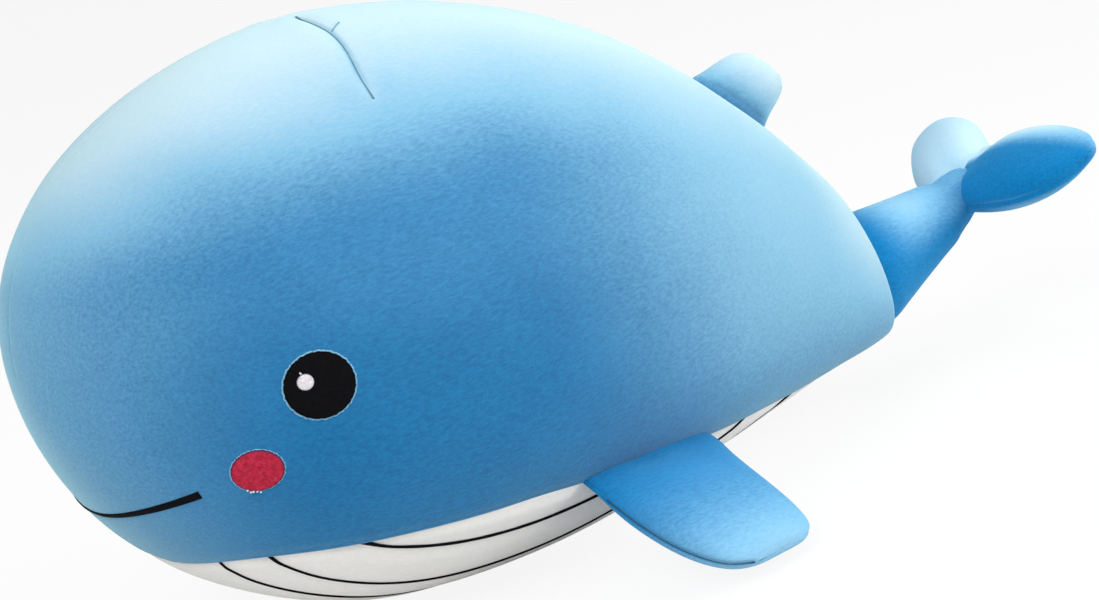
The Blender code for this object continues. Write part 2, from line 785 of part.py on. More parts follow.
def ribbon(steps, width_at, middle_point, start, end):
    """A stitched line: a narrow strip that follows middle_point(place) over the egg's surface."""

    def point(across, along):
        place_at = start + (end - start) * along
        before = middle_point(max(start, place_at - (end - start) / steps / 2))
        after = middle_point(min(end, place_at + (end - start) / steps / 2))
        here = middle_point(place_at)
        normal = egg_normal(here)
        sideways = normal.cross(after - before).normalized()
        spot = here + sideways * width_at(place_at) * (across - 1 / 2)
        inside = spot - normal * PINCH_RADIUS
        return egg_from_inside(inside, normal, EMBROIDERY_LIFT)

    return sheet(2, steps, point)


def mouth_point(place_at):
    """The mouth's middle line, from -1 at one corner to 1 at the other, level round the snout."""
    y = place_at * MOUTH_WIDTH_SHARE * BODY_WIDTH / 2
    rise = MOUTH_RISE_SHARE * abs(place_at) ** MOUTH_RISE_POWER
    inside = Vector((body_x(EYE_PLACE_SHARES[0]), 0, BODY_HEIGHT * (MOUTH_HEIGHT_SHARE + rise)))
    low, high = 0.0, math.pi / 2
    for _ in range(40):
        turn = (low + high) / 2
        toward = Vector((-math.cos(turn), math.copysign(math.sin(turn), y), 0))
        found = egg_from_inside(inside, toward, 0.0)
        if abs(found.y) < abs(y):
            low = turn
        else:
            high = turn
    return found


def mouth_width(place_at):
    """The mouth's line is thinnest in the middle."""
    return MOUTH_LINE_WIDTH * (MOUTH_THINNEST_SHARE + (1 - MOUTH_THINNEST_SHARE) * abs(place_at))


def build_face():
    """Eyes with their highlights, cheeks and the mouth."""
    glint = (EYE_HIGHLIGHT_SHARES[0] * EYE_WIDTH, EYE_HIGHLIGHT_SHARES[1] * EYE_HEIGHT)
    upper_lift = EMBROIDERY_LIFT + EMBROIDERY + CLEARANCE
    eye = (EYE_WIDTH, EYE_HEIGHT, EYE_PLACE_SHARES, (0, 0), 0.0, PATCH_SEGMENTS, EMBROIDERY_LIFT)
    highlight = (EYE_HIGHLIGHT, EYE_HIGHLIGHT, EYE_PLACE_SHARES, glint, 0.0, HIGHLIGHT_SEGMENTS, upper_lift)
    cheek = (
        CHEEK_WIDTH, CHEEK_HEIGHT, CHEEK_PLACE_SHARES, (0, 0), CHEEK_TILT, PATCH_SEGMENTS, EMBROIDERY_LIFT
    )
    for name, finish, shape in (
        ("eye", BLACK_THREAD, eye),
        ("eye_highlight", WHITE_THREAD, highlight),
        ("cheek", PINK_THREAD, cheek),
    ):
        left = patch(*shape)
        right = mirrored(left.copy())
        place_sheet(f"{name}_left", left, BODY_CENTRE, finish, EMBROIDERY, outwards=True)
        place_sheet(f"{name}_right", right, BODY_CENTRE, finish, EMBROIDERY, outwards=True)
    strip = ribbon(MOUTH_STEPS, mouth_width, mouth_point, -1.0, 1.0)
    place_sheet("mouth_line", strip, BODY_CENTRE, BLACK_THREAD, EMBROIDERY, outwards=True)


def groove_point(share, bow, x):
    """The point of a groove at this x, on the underside of the left half."""
    half_width, _, belly, middle = section(2 * (x - NOSE_X) / BODY_LENGTH - 1)
    away = (x - NOSE_X) / BODY_LENGTH - GROOVE_BOW_CENTRE_SHARE
    y = share * BODY_WIDTH / 2 * (1 - bow * away**2)
    if y >= half_width:
        return None
    depth = belly * (1 - (y / half_width) ** BELLY_POWER) ** (1 / BELLY_POWER)
    return Vector((x, -y, LIFT + middle - depth))


def groove_reach(share, bow):
    """The first and last x at which a groove lies on the belly panel, clear of the seam."""
    found = []
    for i in range(1, KEEL_SAMPLES):
        x = body_x(i / KEEL_SAMPLES)
        spot = groove_point(share, bow, x)
        if spot and spot.z < seam_height(x) - GROOVE_LINE_WIDTH / 2 - GROOVE_SEAM_INSET:
            found.append(x)
    return min(found), max(found)


def build_grooves():
    """The embroidered lines on the belly, the same on both sides."""
    for number, (share, bow) in enumerate(zip(GROOVE_WIDTH_SHARES, GROOVE_BOW_SHARES), start=1):
        first, last = groove_reach(share, bow)
        left = ribbon(
            GROOVE_STEPS, lambda x: GROOVE_LINE_WIDTH, lambda x: groove_point(share, bow, x), first, last
        )
        right = mirrored(left.copy())
        for side, strip in (("left", left), ("right", right)):
            name = f"belly_groove_{side}_{number}"
            place_sheet(name, strip, BODY_CENTRE, BLACK_THREAD, EMBROIDERY, outwards=True)


def main():
    """Builds every piece."""
    build_body()
    build_face()
    build_grooves()
    build_fins()
    build_dorsal_fin()
    build_flukes(build_tail())


main()
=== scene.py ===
"""Dresses the plush whale: pile, belly cloth, embroidery, limbs and a studio."""

import json
import logging
import math
from collections.abc import Callable
from dataclasses import dataclass, field
from enum import Enum

import bpy
import numpy as np
from mathutils import Matrix, Vector


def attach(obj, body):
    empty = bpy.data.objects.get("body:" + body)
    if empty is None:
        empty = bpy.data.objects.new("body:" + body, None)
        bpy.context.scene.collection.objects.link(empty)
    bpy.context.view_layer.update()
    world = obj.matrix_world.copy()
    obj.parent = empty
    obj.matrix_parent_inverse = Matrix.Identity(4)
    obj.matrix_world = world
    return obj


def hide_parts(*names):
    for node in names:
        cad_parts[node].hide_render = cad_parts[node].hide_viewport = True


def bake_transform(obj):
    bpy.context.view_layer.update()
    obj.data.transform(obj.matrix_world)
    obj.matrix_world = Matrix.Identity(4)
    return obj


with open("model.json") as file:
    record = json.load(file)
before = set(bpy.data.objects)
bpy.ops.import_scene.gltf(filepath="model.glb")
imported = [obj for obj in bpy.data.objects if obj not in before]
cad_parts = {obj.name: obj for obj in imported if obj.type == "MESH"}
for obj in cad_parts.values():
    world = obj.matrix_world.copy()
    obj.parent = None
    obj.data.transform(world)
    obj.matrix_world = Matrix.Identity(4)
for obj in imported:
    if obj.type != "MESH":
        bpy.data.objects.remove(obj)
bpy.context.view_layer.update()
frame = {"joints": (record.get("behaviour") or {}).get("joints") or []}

LOG = logging.getLogger("plush_whale")
Points = np.ndarray
Shares = tuple[float, ...]
Colour = tuple[float, float, float]
PAINTED_LIGHT = "raised"
STITCH = "stitch"
WHITE = (1.0, 1.0, 1.0, 1.0)


class Side(Enum):
    """The whale's two sides, by the sign of Y."""

    LEFT = -1.0
    RIGHT = 1.0

    @property
    def word(self) -> str:
        """The side's name as the nodes spell it."""
        return self.name.lower()


def bernstein(shares: Shares, place: Points) -> Points:
    """Mixes shares along a run.

    Args:
        shares: The control shares.
        place: Places from 0 to 1.

    Returns:
        The mixed share at each place.
    """
    top = len(shares) - 1
    return sum(math.comb(top, i) * place**i * (1 - place) ** (top - i) * s for i, s in enumerate(shares))


def smooth(low: float, high: float, value: Points) -> Points:
    """Eases from 0 at low to 1 at high.

    Args:
        low: Where the step starts.
        high: Where the step ends.
        value: The values to ease.

    Returns:
        The eased step.
    """
    share = np.clip((value - low) / (high - low), 0, 1)
    return share * share * (3 - 2 * share)


def bump(value: Points, width: float) -> Points:
    """A soft ridge: 1 at zero, falling off over a width.

    Args:
        value: Distances from the ridge.
        width: The distance at which the ridge has mostly gone.

    Returns:
        The height of the ridge.
    """
    return np.exp(-((value / width) ** 2))


def arch(side: Points) -> Points:
    """A round arch: 1 in the middle and 0 at -1 and 1."""
    return np.sqrt(np.maximum(0, 1 - side**2))


def unit(vectors: Points) -> Points:
    """Vectors brought to length 1."""
    return vectors / np.maximum(np.linalg.norm(vectors, axis=-1, keepdims=True), 1e-12)


def lumps(points: Points, size: float, seed: float = 0.0) -> Points:
    """Soft, uneven waves over space.

    Args:
        points: Places in metres.
        size: The size of a lump in metres.
        seed: Moves the pattern.

    Returns:
        Values from about -1 to 1.
    """
    waves, golden_turn = 7, math.pi * (3 - math.sqrt(5))
    total = np.zeros(len(points))
    for i in range(waves):
        turn, rise = golden_turn * i + seed, 1 - 2 * (i + 0.5) / waves
        flat = math.sqrt(1 - rise * rise)
        heading = np.array([math.cos(turn) * flat, math.sin(turn) * flat, rise])
        pitch = size * (1.15 - 0.45 * i / waves)
        total += np.sin(points @ heading * math.pi / pitch + 2.1 * i + seed)
    return total / math.sqrt(2 * waves)


@dataclass(frozen=True)
class Egg:
    """The stuffed body's shape, as the solids have it."""

    length: float = 0.416
    width: float = 0.215
    height: float = 0.242
    nose_x: float = -0.170987
    lift: float = 0.112333
    back_power: float = 2.0
    belly_power: float = 2.4
    width_shares: Shares = (1.21, 1.11, 0.98, 0.81, 0.605)
    back_shares: Shares = (1.145, 1.128, 1.066, 0.905, 0.707)
    belly_shares: Shares = (1.281, 1.083, 0.905, 0.711, 0.479)
    middle_shares: Shares = (0.19, 0.054, 0.0, -0.029, -0.632)
    seam_shares: Shares = (0.238, 0.0745)
    chin_droop: float = 0.0042
    chin_droop_shares: Shares = (0.07, 0.03)

    def section(self, x: Points) -> tuple[Points, Points, Points, Points]:
        """The egg's section at each x.

        Args:
            x: Places along the body.

        Returns:
            Half width, back height, belly depth and middle height.
        """
        place = np.clip((x - self.nose_x) / self.length, 0, 1)
        girth = np.sqrt(np.maximum(0, 1 - (2 * place - 1) ** 2))
        return (
            girth * self.width / 2 * bernstein(self.width_shares, place),
            girth * self.height / 2 * bernstein(self.back_shares, place),
            girth * self.height / 2 * bernstein(self.belly_shares, place),
            self.lift + self.height / 2 * bernstein(self.middle_shares, place),
        )

    def point(self, x: Points, angle: Points) -> Points:
        """Points of the skin.

        Args:
            x: Places along the body.
            angle: Angles from 0 at the back to pi at the keel, positive towards the left.

        Returns:
            The points.
        """
        half, back, belly, middle = self.section(x)
        across, up = np.sin(angle), np.cos(angle)
        power = np.where(up < 0, self.belly_power, self.back_power)
        across = np.sign(across) * np.abs(across) ** (2 / power)
        up = np.sign(up) * np.abs(up) ** (2 / power)
        return np.stack([x, -half * across, middle + np.where(up > 0, back, belly) * up], -1)

    def level(self, points: Points) -> Points:
        """Below 1 inside the skin and above 1 outside it.

        Args:
            points: Places in metres.

        Returns:
            The level at each place.
        """
        half, back, belly, middle = self.section(points[..., 0])
        rise = points[..., 2] - middle
        power = np.where(rise > 0, self.back_power, self.belly_power)
        height = np.maximum(np.where(rise > 0, back, belly), 1e-6)
        return (np.abs(points[..., 1]) / np.maximum(half, 1e-6)) ** power + (np.abs(rise) / height) ** power

    def normal(self, points: Points) -> Points:
        """The outward direction at points of the skin.

        Args:
            points: Places on the skin or near it.

        Returns:
            A direction of length 1 for each place.
        """
        step = 0.0005
        slopes = []
        for axis in range(3):
            move = np.zeros(3)
            move[axis] = step
            slopes.append(self.level(points + move) - self.level(points - move))
        return unit(np.stack(slopes, -1))

    def flank(self, x: Points, z: Points) -> Points:
        """Points of the left flank.

        Args:
            x: Places along the body.
            z: Heights.

        Returns:
            The points.
        """
        half, back, belly, middle = self.section(x)
        rise = z - middle
        power = np.where(rise > 0, self.back_power, self.belly_power)
        share = np.minimum(1, np.abs(rise) / np.where(rise > 0, back, belly))
        return np.stack([x, -half * (1 - share**power) ** (1 / power), z], -1)

    def seam_height(self, x: Points) -> Points:
        """The belly seam's height at each x.

        Args:
            x: Places along the body.

        Returns:
            The seam's height at each.
        """
        front, rear = self.seam_shares
        share = (x - self.nose_x) / self.length
        middle, spread = self.chin_droop_shares
        return self.height * (front + (rear - front) * share) - self.chin_droop * bump(share - middle, spread)

    def seam_angle(self, x: Points) -> Points:
        """The angle at which the section crosses the belly seam, near pi where it lies above it.

        Args:
            x: Places along the body.

        Returns:
            The angle from the back, at most pi.
        """
        _, _, belly, middle = self.section(x)
        drop = np.clip((middle - self.seam_height(x)) / np.maximum(belly, 1e-6), 0, 1)
        return np.arccos(-(drop ** (self.belly_power / 2)))

    def body_x(self, share: float) -> float:
        """The x at a share of the way from nose to tail."""
        return self.nose_x + share * self.length


EGG = Egg()
HEART = Vector((0, 0, EGG.lift))


def deselect() -> None:
    """Leaves nothing selected, so that an operator acts on new work alone."""
    if bpy.context.mode != "OBJECT":
        bpy.ops.object.mode_set(mode="OBJECT")
    bpy.ops.object.select_all(action="DESELECT")


def finish_mesh(name: str) -> bpy.types.Object:
    """Names the active object, applies its place and shades it smooth.

    Args:
        name: The piece's name.

    Returns:
        The piece.
    """
    piece = bpy.context.active_object
    piece.name = piece.data.name = name
    bpy.ops.object.transform_apply(location=True, rotation=True, scale=True)
    bpy.ops.object.shade_smooth()
    return piece


def places(piece: bpy.types.Object) -> Points:
    """The piece's vertices as an array.

    Args:
        piece: The piece.

    Returns:
        The places in metres, one row for each vertex.
    """
    found = np.empty(len(piece.data.vertices) * 3, np.float32)
    piece.data.vertices.foreach_get("co", found)
    return found.reshape(-1, 3).astype(float)


def move_to(piece: bpy.types.Object, points: Points) -> None:
    """Puts the piece's vertices at new places."""
    piece.data.vertices.foreach_set("co", points.astype(np.float32).ravel())
    piece.data.update()


def ball(name: str, segments: int, rings: int, shape: Callable[[Points], Points]) -> bpy.types.Object:
    """A closed form that starts as a sphere and is shaped point by point.

    Args:
        name: The piece's name.
        segments: Faces round the sphere.
        rings: Faces from pole to pole.
        shape: Turns points of the unit sphere into places.

    Returns:
        The piece, with its faces outwards.
    """
    deselect()
    bpy.ops.mesh.primitive_uv_sphere_add(segments=segments, ring_count=rings, radius=1.0)
    piece = finish_mesh(name)
    move_to(piece, shape(places(piece)))
    return outwards(piece)


def strip(
    name: str, across: int, along: int, shape: Callable[[Points, Points], Points], length: float = 0.1
) -> bpy.types.Object:
    """An open sheet that starts as a grid.

    Args:
        name: The piece's name.
        across: Faces across the sheet.
        along: Faces along it.
        shape: Turns places from 0 to 1, across and along, into points.
        length: The sheet's length, for the threads that lie across it.

    Returns:
        The piece.
    """
    deselect()
    bpy.ops.mesh.primitive_grid_add(x_subdivisions=across, y_subdivisions=along, size=2.0)
    piece = finish_mesh(name)
    flat = (places(piece) + 1) / 2
    move_to(piece, shape(flat[:, 0], flat[:, 1]))
    mark_stitches(piece, np.stack([flat[:, 0] * 0, flat[:, 1] * length, flat[:, 0] * 0], -1))
    return piece


def outwards(piece: bpy.types.Object) -> bpy.types.Object:
    """Merges doubles and turns the faces of a closed piece outwards.

    Args:
        piece: A closed piece, or a sheet.

    Returns:
        The same piece.
    """
    deselect()
    piece.select_set(True)
    bpy.context.view_layer.objects.active = piece
    bpy.ops.object.mode_set(mode="EDIT")
    bpy.ops.mesh.select_all(action="SELECT")
    bpy.ops.mesh.remove_doubles(threshold=1e-6)
    bpy.ops.mesh.normals_make_consistent(inside=False)
    bpy.ops.object.mode_set(mode="OBJECT")
    return piece


def thicken(piece: bpy.types.Object, thickness: float, inwards: Vector) -> bpy.types.Object:
    """Gives an open sheet a wall behind its face.

    Args:
        piece: The sheet.
        thickness: The wall.
        inwards: A point that lies behind the sheet.

    Returns:
        The same piece, closed.
    """
    outwards(piece)
    mesh = piece.data
    turned = sum(face.normal.dot(face.center - inwards) * face.area for face in mesh.polygons)
    if turned < 0:
        mesh.flip_normals()
    wall = piece.modifiers.new("wall", "SOLIDIFY")
    wall.thickness = thickness
    wall.offset = -1.0
    wall.use_rim = True
    bpy.context.view_layer.objects.active = piece
    bpy.ops.object.modifier_apply(modifier=wall.name)
    return piece


def mirrored_copy(piece: bpy.types.Object, name: str) -> bpy.types.Object:
    """The same piece on the whale's other side, with a mesh of its own.

    Args:
        piece: The left piece.
        name: The right piece's name.

    Returns:
        The right piece.
    """
    deselect()
    piece.select_set(True)
    bpy.context.view_layer.objects.active = piece
    bpy.ops.object.duplicate(linked=False)
    copy = bpy.context.active_object
    copy.name = copy.data.name = name
    points = places(copy)
    points[:, 1] *= -1
    move_to(copy, points)
    copy.data.flip_normals()
    return copy


# Finishes


def node_group(name: str, inputs: dict[str, float], outputs: tuple[str, ...]) -> bpy.types.NodeTree:
    """A new shader group with float inputs and float outputs.

    Args:
        name: The group's name.
        inputs: Input names and their defaults.
        outputs: Output names.

    Returns:
        The group.
    """
    group = bpy.data.node_groups.new(name, "ShaderNodeTree")
    for label, value in inputs.items():
        socket = group.interface.new_socket(name=label, in_out="INPUT", socket_type="NodeSocketFloat")
        socket.default_value = value
    for label in outputs:
        group.interface.new_socket(name=label, in_out="OUTPUT", socket_type="NodeSocketFloat")
    return group


class Nodes:
    """A short way to add and link nodes in one tree."""

    def __init__(self, tree: bpy.types.NodeTree) -> None:
        """Keeps the tree."""
        self.tree = tree

    def add(self, kind: str, inputs: dict | None = None, **settings: object) -> bpy.types.Node:
        """Adds a node.

        Args:
            kind: The node's type, without its Shader prefix.
            inputs: Values or output sockets by input name or number.
            settings: The node's own settings.

        Returns:
            The node.
        """
        node = self.tree.nodes.new(kind if kind.startswith("Node") else f"ShaderNode{kind}")
        for label, value in settings.items():
            setattr(node, label, value)
        for key, value in (inputs or {}).items():
            socket = node.inputs[key]
            if isinstance(value, bpy.types.NodeSocket):
                self.tree.links.new(value, socket)
            else:
                socket.default_value = value
        return node

    def math(self, operation: str, first: object, second: object = 0.0) -> bpy.types.NodeSocket:
        """Adds a Math node and gives its output."""
        return self.add("Math", {0: first, 1: second}, operation=operation).outputs[0]

    def noise(
        self, vector: object, scale: object, detail: float, roughness: float = 0.5
    ) -> bpy.types.NodeSocket:
        """Adds a Noise Texture and gives its value."""
        inputs = {"Vector": vector, "Scale": scale, "Detail": detail, "Roughness": roughness}
        return self.add("TexNoise", inputs).outputs["Fac"]

    def span(self, value: object, low: float = 0.0, high: float = 1.0) -> bpy.types.NodeSocket:
        """Takes low to 0 and high to 1, and gives the result."""
        inputs = {"Value": value, "From Min": low, "From Max": high}
        return self.add("MapRange", inputs).outputs["Result"]

    def mix(self, share: object, first: object, second: Colour) -> bpy.types.NodeSocket:
        """Mixes two colours, the first a socket or a colour, and gives the result.

        Args:
            share: How much of the second colour shows, as a socket or a number.
            first: The first colour.
            second: The second colour.

        Returns:
            The mixed colour's socket.
        """
        start = first if isinstance(first, bpy.types.NodeSocket) else (*first, 1)
        inputs = {"Factor": share, 6: start, 7: (*second, 1)}
        return self.add("Mix", inputs, data_type="RGBA").outputs[2]

    def surface(self, output: str, share: object, first: bpy.types.Node, second: bpy.types.Node) -> None:
        """Mixes two shader nodes by a share, into the tree's output."""
        mixed = self.add("MixShader", {0: share, 1: first.outputs[0], 2: second.outputs[0]})
        self.tree.links.new(mixed.outputs[0], self.tree.nodes[output].inputs["Surface"])

    def shader(self, colour: bpy.types.NodeSocket, bumps: dict, values: dict) -> None:
        """Gives the Principled BSDF its colour, its bump and its constant values.

        Args:
            colour: The base colour's socket.
            bumps: The Bump node's inputs.
            values: The shader's values by input name.
        """
        shader = self.tree.nodes["Principled BSDF"]
        self.tree.links.new(colour, shader.inputs["Base Color"])
        self.tree.links.new(self.add("Bump", bumps).outputs["Normal"], shader.inputs["Normal"])
        for label, value in values.items():
            shader.inputs[label].default_value = value


def pile_group() -> bpy.types.NodeTree:
    """The short pile: its tips, the way its nap is brushed, and the share of painted light, read from the
    piece's attribute and made uneven by the nap.

    Returns:
        The group, with Height and Nap outputs and a third output for the share of painted light.
    """
    made = node_group(
        "short_pile",
        {"Tuft Scale": 1500.0, "Stroke Scale": 900.0, "Mottle Scale": 34.0, "Unevenness": 0.35},
        ("Height", "Nap", "Raised"),
    )
    nodes = Nodes(made)
    entry = nodes.add("NodeGroupInput")
    place = nodes.add("TexCoord").outputs["Object"]
    brushed = nodes.add(
        "Mapping", {"Vector": place, "Rotation": (0.0, math.radians(35), 0.0), "Scale": (0.36, 1.0, 1.0)}
    ).outputs["Vector"]
    tufts = nodes.noise(place, entry.outputs["Tuft Scale"], 2.0, 0.6)
    strokes = nodes.noise(brushed, entry.outputs["Stroke Scale"], 3.0, 0.62)
    mottle = nodes.noise(place, entry.outputs["Mottle Scale"], 3.0, 0.55)
    height = nodes.math("ADD", nodes.math("MULTIPLY", tufts, 0.45), nodes.math("MULTIPLY", strokes, 0.55))
    nap = nodes.math("ADD", nodes.math("MULTIPLY", strokes, 0.80), nodes.math("MULTIPLY", mottle, 0.20))
    # Painted light: the attribute says how much paler the pile is painted where light and sheen fall.
    raised = nodes.add("Attribute", attribute_name=PAINTED_LIGHT).outputs["Fac"]
    spread = nodes.math("MULTIPLY", nodes.math("SUBTRACT", nap, 0.5), entry.outputs["Unevenness"])
    begun = nodes.add("MapRange", {"Value": raised, "From Max": 0.22}, interpolation_type="SMOOTHSTEP")
    uneven = nodes.math("ADD", raised, nodes.math("MULTIPLY", spread, begun.outputs["Result"]))
    share = nodes.add("Clamp", {0: uneven}).outputs[0]
    nodes.add("NodeGroupOutput", {"Height": height, "Nap": nap, "Raised": share})
    return made


def thread_group() -> bpy.types.NodeTree:
    """Satin stitch: threads laid side by side, and the shade where they dive into the pile.

    Returns:
        The group, with Height, Shade and Rim outputs.
    """
    made = node_group("satin_stitch", {"Thread Scale": 800.0}, ("Height", "Shade", "Rim"))
    nodes = Nodes(made)
    entry = nodes.add("NodeGroupInput")
    stitch = nodes.add("Attribute", attribute_name=STITCH).outputs["Vector"]
    waves = nodes.add(
        "TexWave",
        {"Vector": stitch, "Scale": entry.outputs["Thread Scale"], "Distortion": 0.8, "Detail": 1.0},
        wave_type="BANDS",
        bands_direction="Y",
    ).outputs["Fac"]
    place = nodes.add("TexCoord").outputs["Object"]
    fuzz = nodes.noise(place, 1300.0, 2.0)
    patches = nodes.noise(place, 620.0, 2.0)
    height = nodes.math("ADD", nodes.math("MULTIPLY", waves, 0.7), nodes.math("MULTIPLY", fuzz, 0.3))
    shade = nodes.math("ADD", nodes.math("MULTIPLY", fuzz, 0.5), nodes.math("MULTIPLY", patches, 0.5))
    rim = nodes.add("SeparateXYZ", {0: stitch}).outputs["Z"]
    nodes.add("NodeGroupOutput", {"Height": height, "Shade": shade, "Rim": rim})
    return made


@dataclass(frozen=True)
class Finish:
    """What every finish has: a material's name and the record's slot."""

    name: str
    slot: str

    def start(self, group: bpy.types.NodeTree) -> tuple[bpy.types.Material, Nodes, bpy.types.Node]:
        """Makes the material, with the finish's node group in it.

        Args:
            group: The node group.

        Returns:
            The material, its nodes and the group's node.
        """
        made = bpy.data.materials.new(self.name)
        made.use_nodes = True
        nodes = Nodes(made.node_tree)
        return made, nodes, nodes.add("Group", node_tree=group)


@dataclass(frozen=True)
class PileFinish(Finish):
    """Short velvety pile: deep where its nap lies down, lighter where it stands up, paler still where light
    is painted in, and soft at grazing angles.
    """

    lying: Colour
    standing: Colour
    # Painted light: the paler colours that stand for lit pile, half way and in full.
    half_raised: Colour
    raised: Colour
    half_share: float = 0.40
    nap_span: tuple[float, float] = (0.34, 0.66)
    sheen: float = 1.0
    sheen_tint: Colour = (0.38, 0.57, 0.56)
    bump_strength: float = 0.55
    bump_depth: float = 0.0005

    def build(self, group: bpy.types.NodeTree) -> bpy.types.Material:
        """Makes the material around the pile's node group.

        Args:
            group: The pile's node group.

        Returns:
            The material.
        """
        made, nodes, pile = self.start(group)
        height, nap, raised = (pile.outputs[name] for name in ("Height", "Nap", "Raised"))
        cloth = nodes.mix(nodes.span(nap, *self.nap_span), self.lying, self.standing)
        # Painted light: the colour turns paler by the share of painted light.
        lifted = nodes.mix(nodes.span(raised, high=self.half_share), cloth, self.half_raised)
        colour = nodes.mix(nodes.span(raised, low=self.half_share), lifted, self.raised)
        bumps = {"Height": height, "Strength": self.bump_strength, "Distance": self.bump_depth}
        values = {
            "Roughness": 0.95,
            "Specular IOR Level": 0.1,
            "Sheen Weight": self.sheen,
            "Sheen Roughness": 0.5,
            "Sheen Tint": (*self.sheen_tint, 1),
        }
        nodes.shader(colour, bumps, values)
        made.diffuse_color = (*self.standing, 1)
        return made


@dataclass(frozen=True)
class ThreadFinish(Finish):
    """Embroidery thread laid side by side."""

    colour: Colour
    shade: Colour
    # Painted shade: the darker colour at the rim, where the pile round the stitches shades them.
    rim: Colour
    roughness: float = 0.5
    specular: float = 0.3
    shade_span: tuple[float, float] = (0.35, 0.65)
    rim_start: float = 0.90
    bump_strength: float = 0.5
    bump_depth: float = 0.00025

    def build(self, group: bpy.types.NodeTree) -> bpy.types.Material:
        """Makes the material around the satin stitch's node group.

        Args:
            group: The satin stitch's node group.

        Returns:
            The material.
        """
        made, nodes, thread = self.start(group)
        height, shade, rim = (thread.outputs[name] for name in ("Height", "Shade", "Rim"))
        laid = nodes.mix(nodes.span(shade, *self.shade_span), self.shade, self.colour)
        # Painted shade: the thread darkens towards its rim, where the pile round it shades it.
        colour = nodes.mix(nodes.span(rim, low=self.rim_start), laid, self.rim)
        bumps = {"Height": height, "Strength": self.bump_strength, "Distance": self.bump_depth}
        nodes.shader(colour, bumps, {"Roughness": self.roughness, "Specular IOR Level": self.specular})
        made.diffuse_color = (*self.colour, 1)
        return made


@dataclass
class Wardrobe:
    """Every finish, each made once and kept by its material's name."""

    finishes: dict[str, tuple[bpy.types.Material, str]] = field(default_factory=dict)

    def __post_init__(self) -> None:
        """Makes the materials."""
        white = (0.86, 0.84, 0.805)
        piles = (
            PileFinish(
                "blue_pile_cloth",
                "blue_pile",
                lying=(0.001, 0.108, 0.295),
                standing=(0.003, 0.172, 0.402),
                # Painted light: the blue pile's colours where light and sheen are painted onto it.
                half_raised=(0.175, 0.395, 0.570),
                raised=(0.46, 0.60, 0.67),
            ),
            PileFinish(
                "light_blue_pile_cloth",
                "light_blue_pile",
                lying=(0.001, 0.138, 0.365),
                standing=(0.002, 0.204, 0.480),
                # Painted light: the light blue pile's colours where light and sheen are painted onto it.
                half_raised=(0.190, 0.440, 0.650),
                raised=(0.50, 0.69, 0.80),
                sheen=0.55,
                sheen_tint=(0.20, 0.50, 0.68),
            ),
            PileFinish(
                "white_belly_cloth",
                "white_pile",
                lying=(0.80, 0.785, 0.75),
                standing=white,
                half_raised=white,
                raised=white,
                sheen=0.25,
                sheen_tint=(1.0, 1.0, 1.0),
                bump_depth=0.00025,
            ),
        )
        threads = (
            ThreadFinish(
                "black_embroidery",
                "black_thread",
                colour=(0.0040, 0.0042, 0.0050),
                shade=(0.002, 0.002, 0.003),
                rim=(0.0015, 0.0015, 0.003),
                roughness=0.75,
                specular=0.06,
            ),
            ThreadFinish(
                "white_embroidery",
                "white_thread",
                colour=(0.86, 0.83, 0.86),
                shade=(0.60, 0.56, 0.60),
                rim=(0.36, 0.33, 0.37),
            ),
            ThreadFinish(
                "pink_embroidery",
                "pink_thread",
                colour=(0.60, 0.026, 0.070),
                shade=(0.30, 0.007, 0.024),
                rim=(0.060, 0.012, 0.070),
                specular=0.12,
            ),
            # Painted shade, partly: the dart's thread is darker than the pale head round it, so it also
            # stands for the shade in the crease.
            ThreadFinish(
                "seam_thread",
                "blue_pile",
                colour=(0.150, 0.340, 0.450),
                shade=(0.100, 0.260, 0.370),
                rim=(0.100, 0.260, 0.370),
            ),
            # Painted shade, partly: the limbs' seam thread is dark so that it also stands for the shade in
            # the seam.
            ThreadFinish(
                "limb_seam_thread",
                "light_blue_pile",
                colour=(0.030, 0.150, 0.280),
                shade=(0.018, 0.105, 0.215),
                rim=(0.018, 0.105, 0.215),
            ),
        )
        for group, finishes in ((pile_group(), piles), (thread_group(), threads)):
            for finish in finishes:
                self.finishes[finish.name] = (finish.build(group), finish.slot)

    def dress(self, piece: bpy.types.Object, finish: str) -> bpy.types.Object:
        """Gives a piece its finish.

        Args:
            piece: The piece.
            finish: The finish's name.

        Returns:
            The same piece.
        """
        material, record_slot = self.finishes[finish]
        piece.data.materials.clear()
        piece.data.materials.append(material)
        return piece


def mark_raised(piece: bpy.types.Object, share: Points) -> None:
    """Stores the share of painted light at each point, from 0 to 1: how much paler the pile is painted, as if
    lit.
    """
    attribute = piece.data.attributes.new(PAINTED_LIGHT, "FLOAT", "POINT")
    attribute.data.foreach_set("value", np.clip(share, 0, 1).astype(np.float32))


def upward(piece: bpy.types.Object) -> Points:
    """How far each point of a piece faces up, from -1 to 1.

    Args:
        piece: The piece.

    Returns:
        The upward share of each vertex's normal.
    """
    normals = np.empty(len(piece.data.vertices) * 3, np.float32)
    piece.data.vertex_normals.foreach_get("vector", normals)
    return normals.reshape(-1, 3)[:, 2].astype(float)


def mark_stitches(piece: bpy.types.Object, rows: Points) -> None:
    """Stores where each point lies in its stitching: across, along, and 1 at the rim."""
    attribute = piece.data.attributes.new(STITCH, "FLOAT_VECTOR", "POINT")
    attribute.data.foreach_set("vector", rows.astype(np.float32).ravel())


def on_both_sides(
    left: bpy.types.Object, wardrobe: Wardrobe, finish: str, right_name: str, nodes: tuple[str, ...] = ()
) -> None:
    """Copies a left piece to the right, and makes both part of the body.

    Args:
        left: The left piece.
        wardrobe: The finishes.
        finish: The finish of both.
        right_name: The right piece's name.
        nodes: The nodes that the left and the right piece replace, or none.
    """
    for number, piece in enumerate((left, mirrored_copy(left, right_name))):
        wardrobe.dress(piece, finish)
        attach(piece, "body")
        if nodes:
            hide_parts(nodes[number])


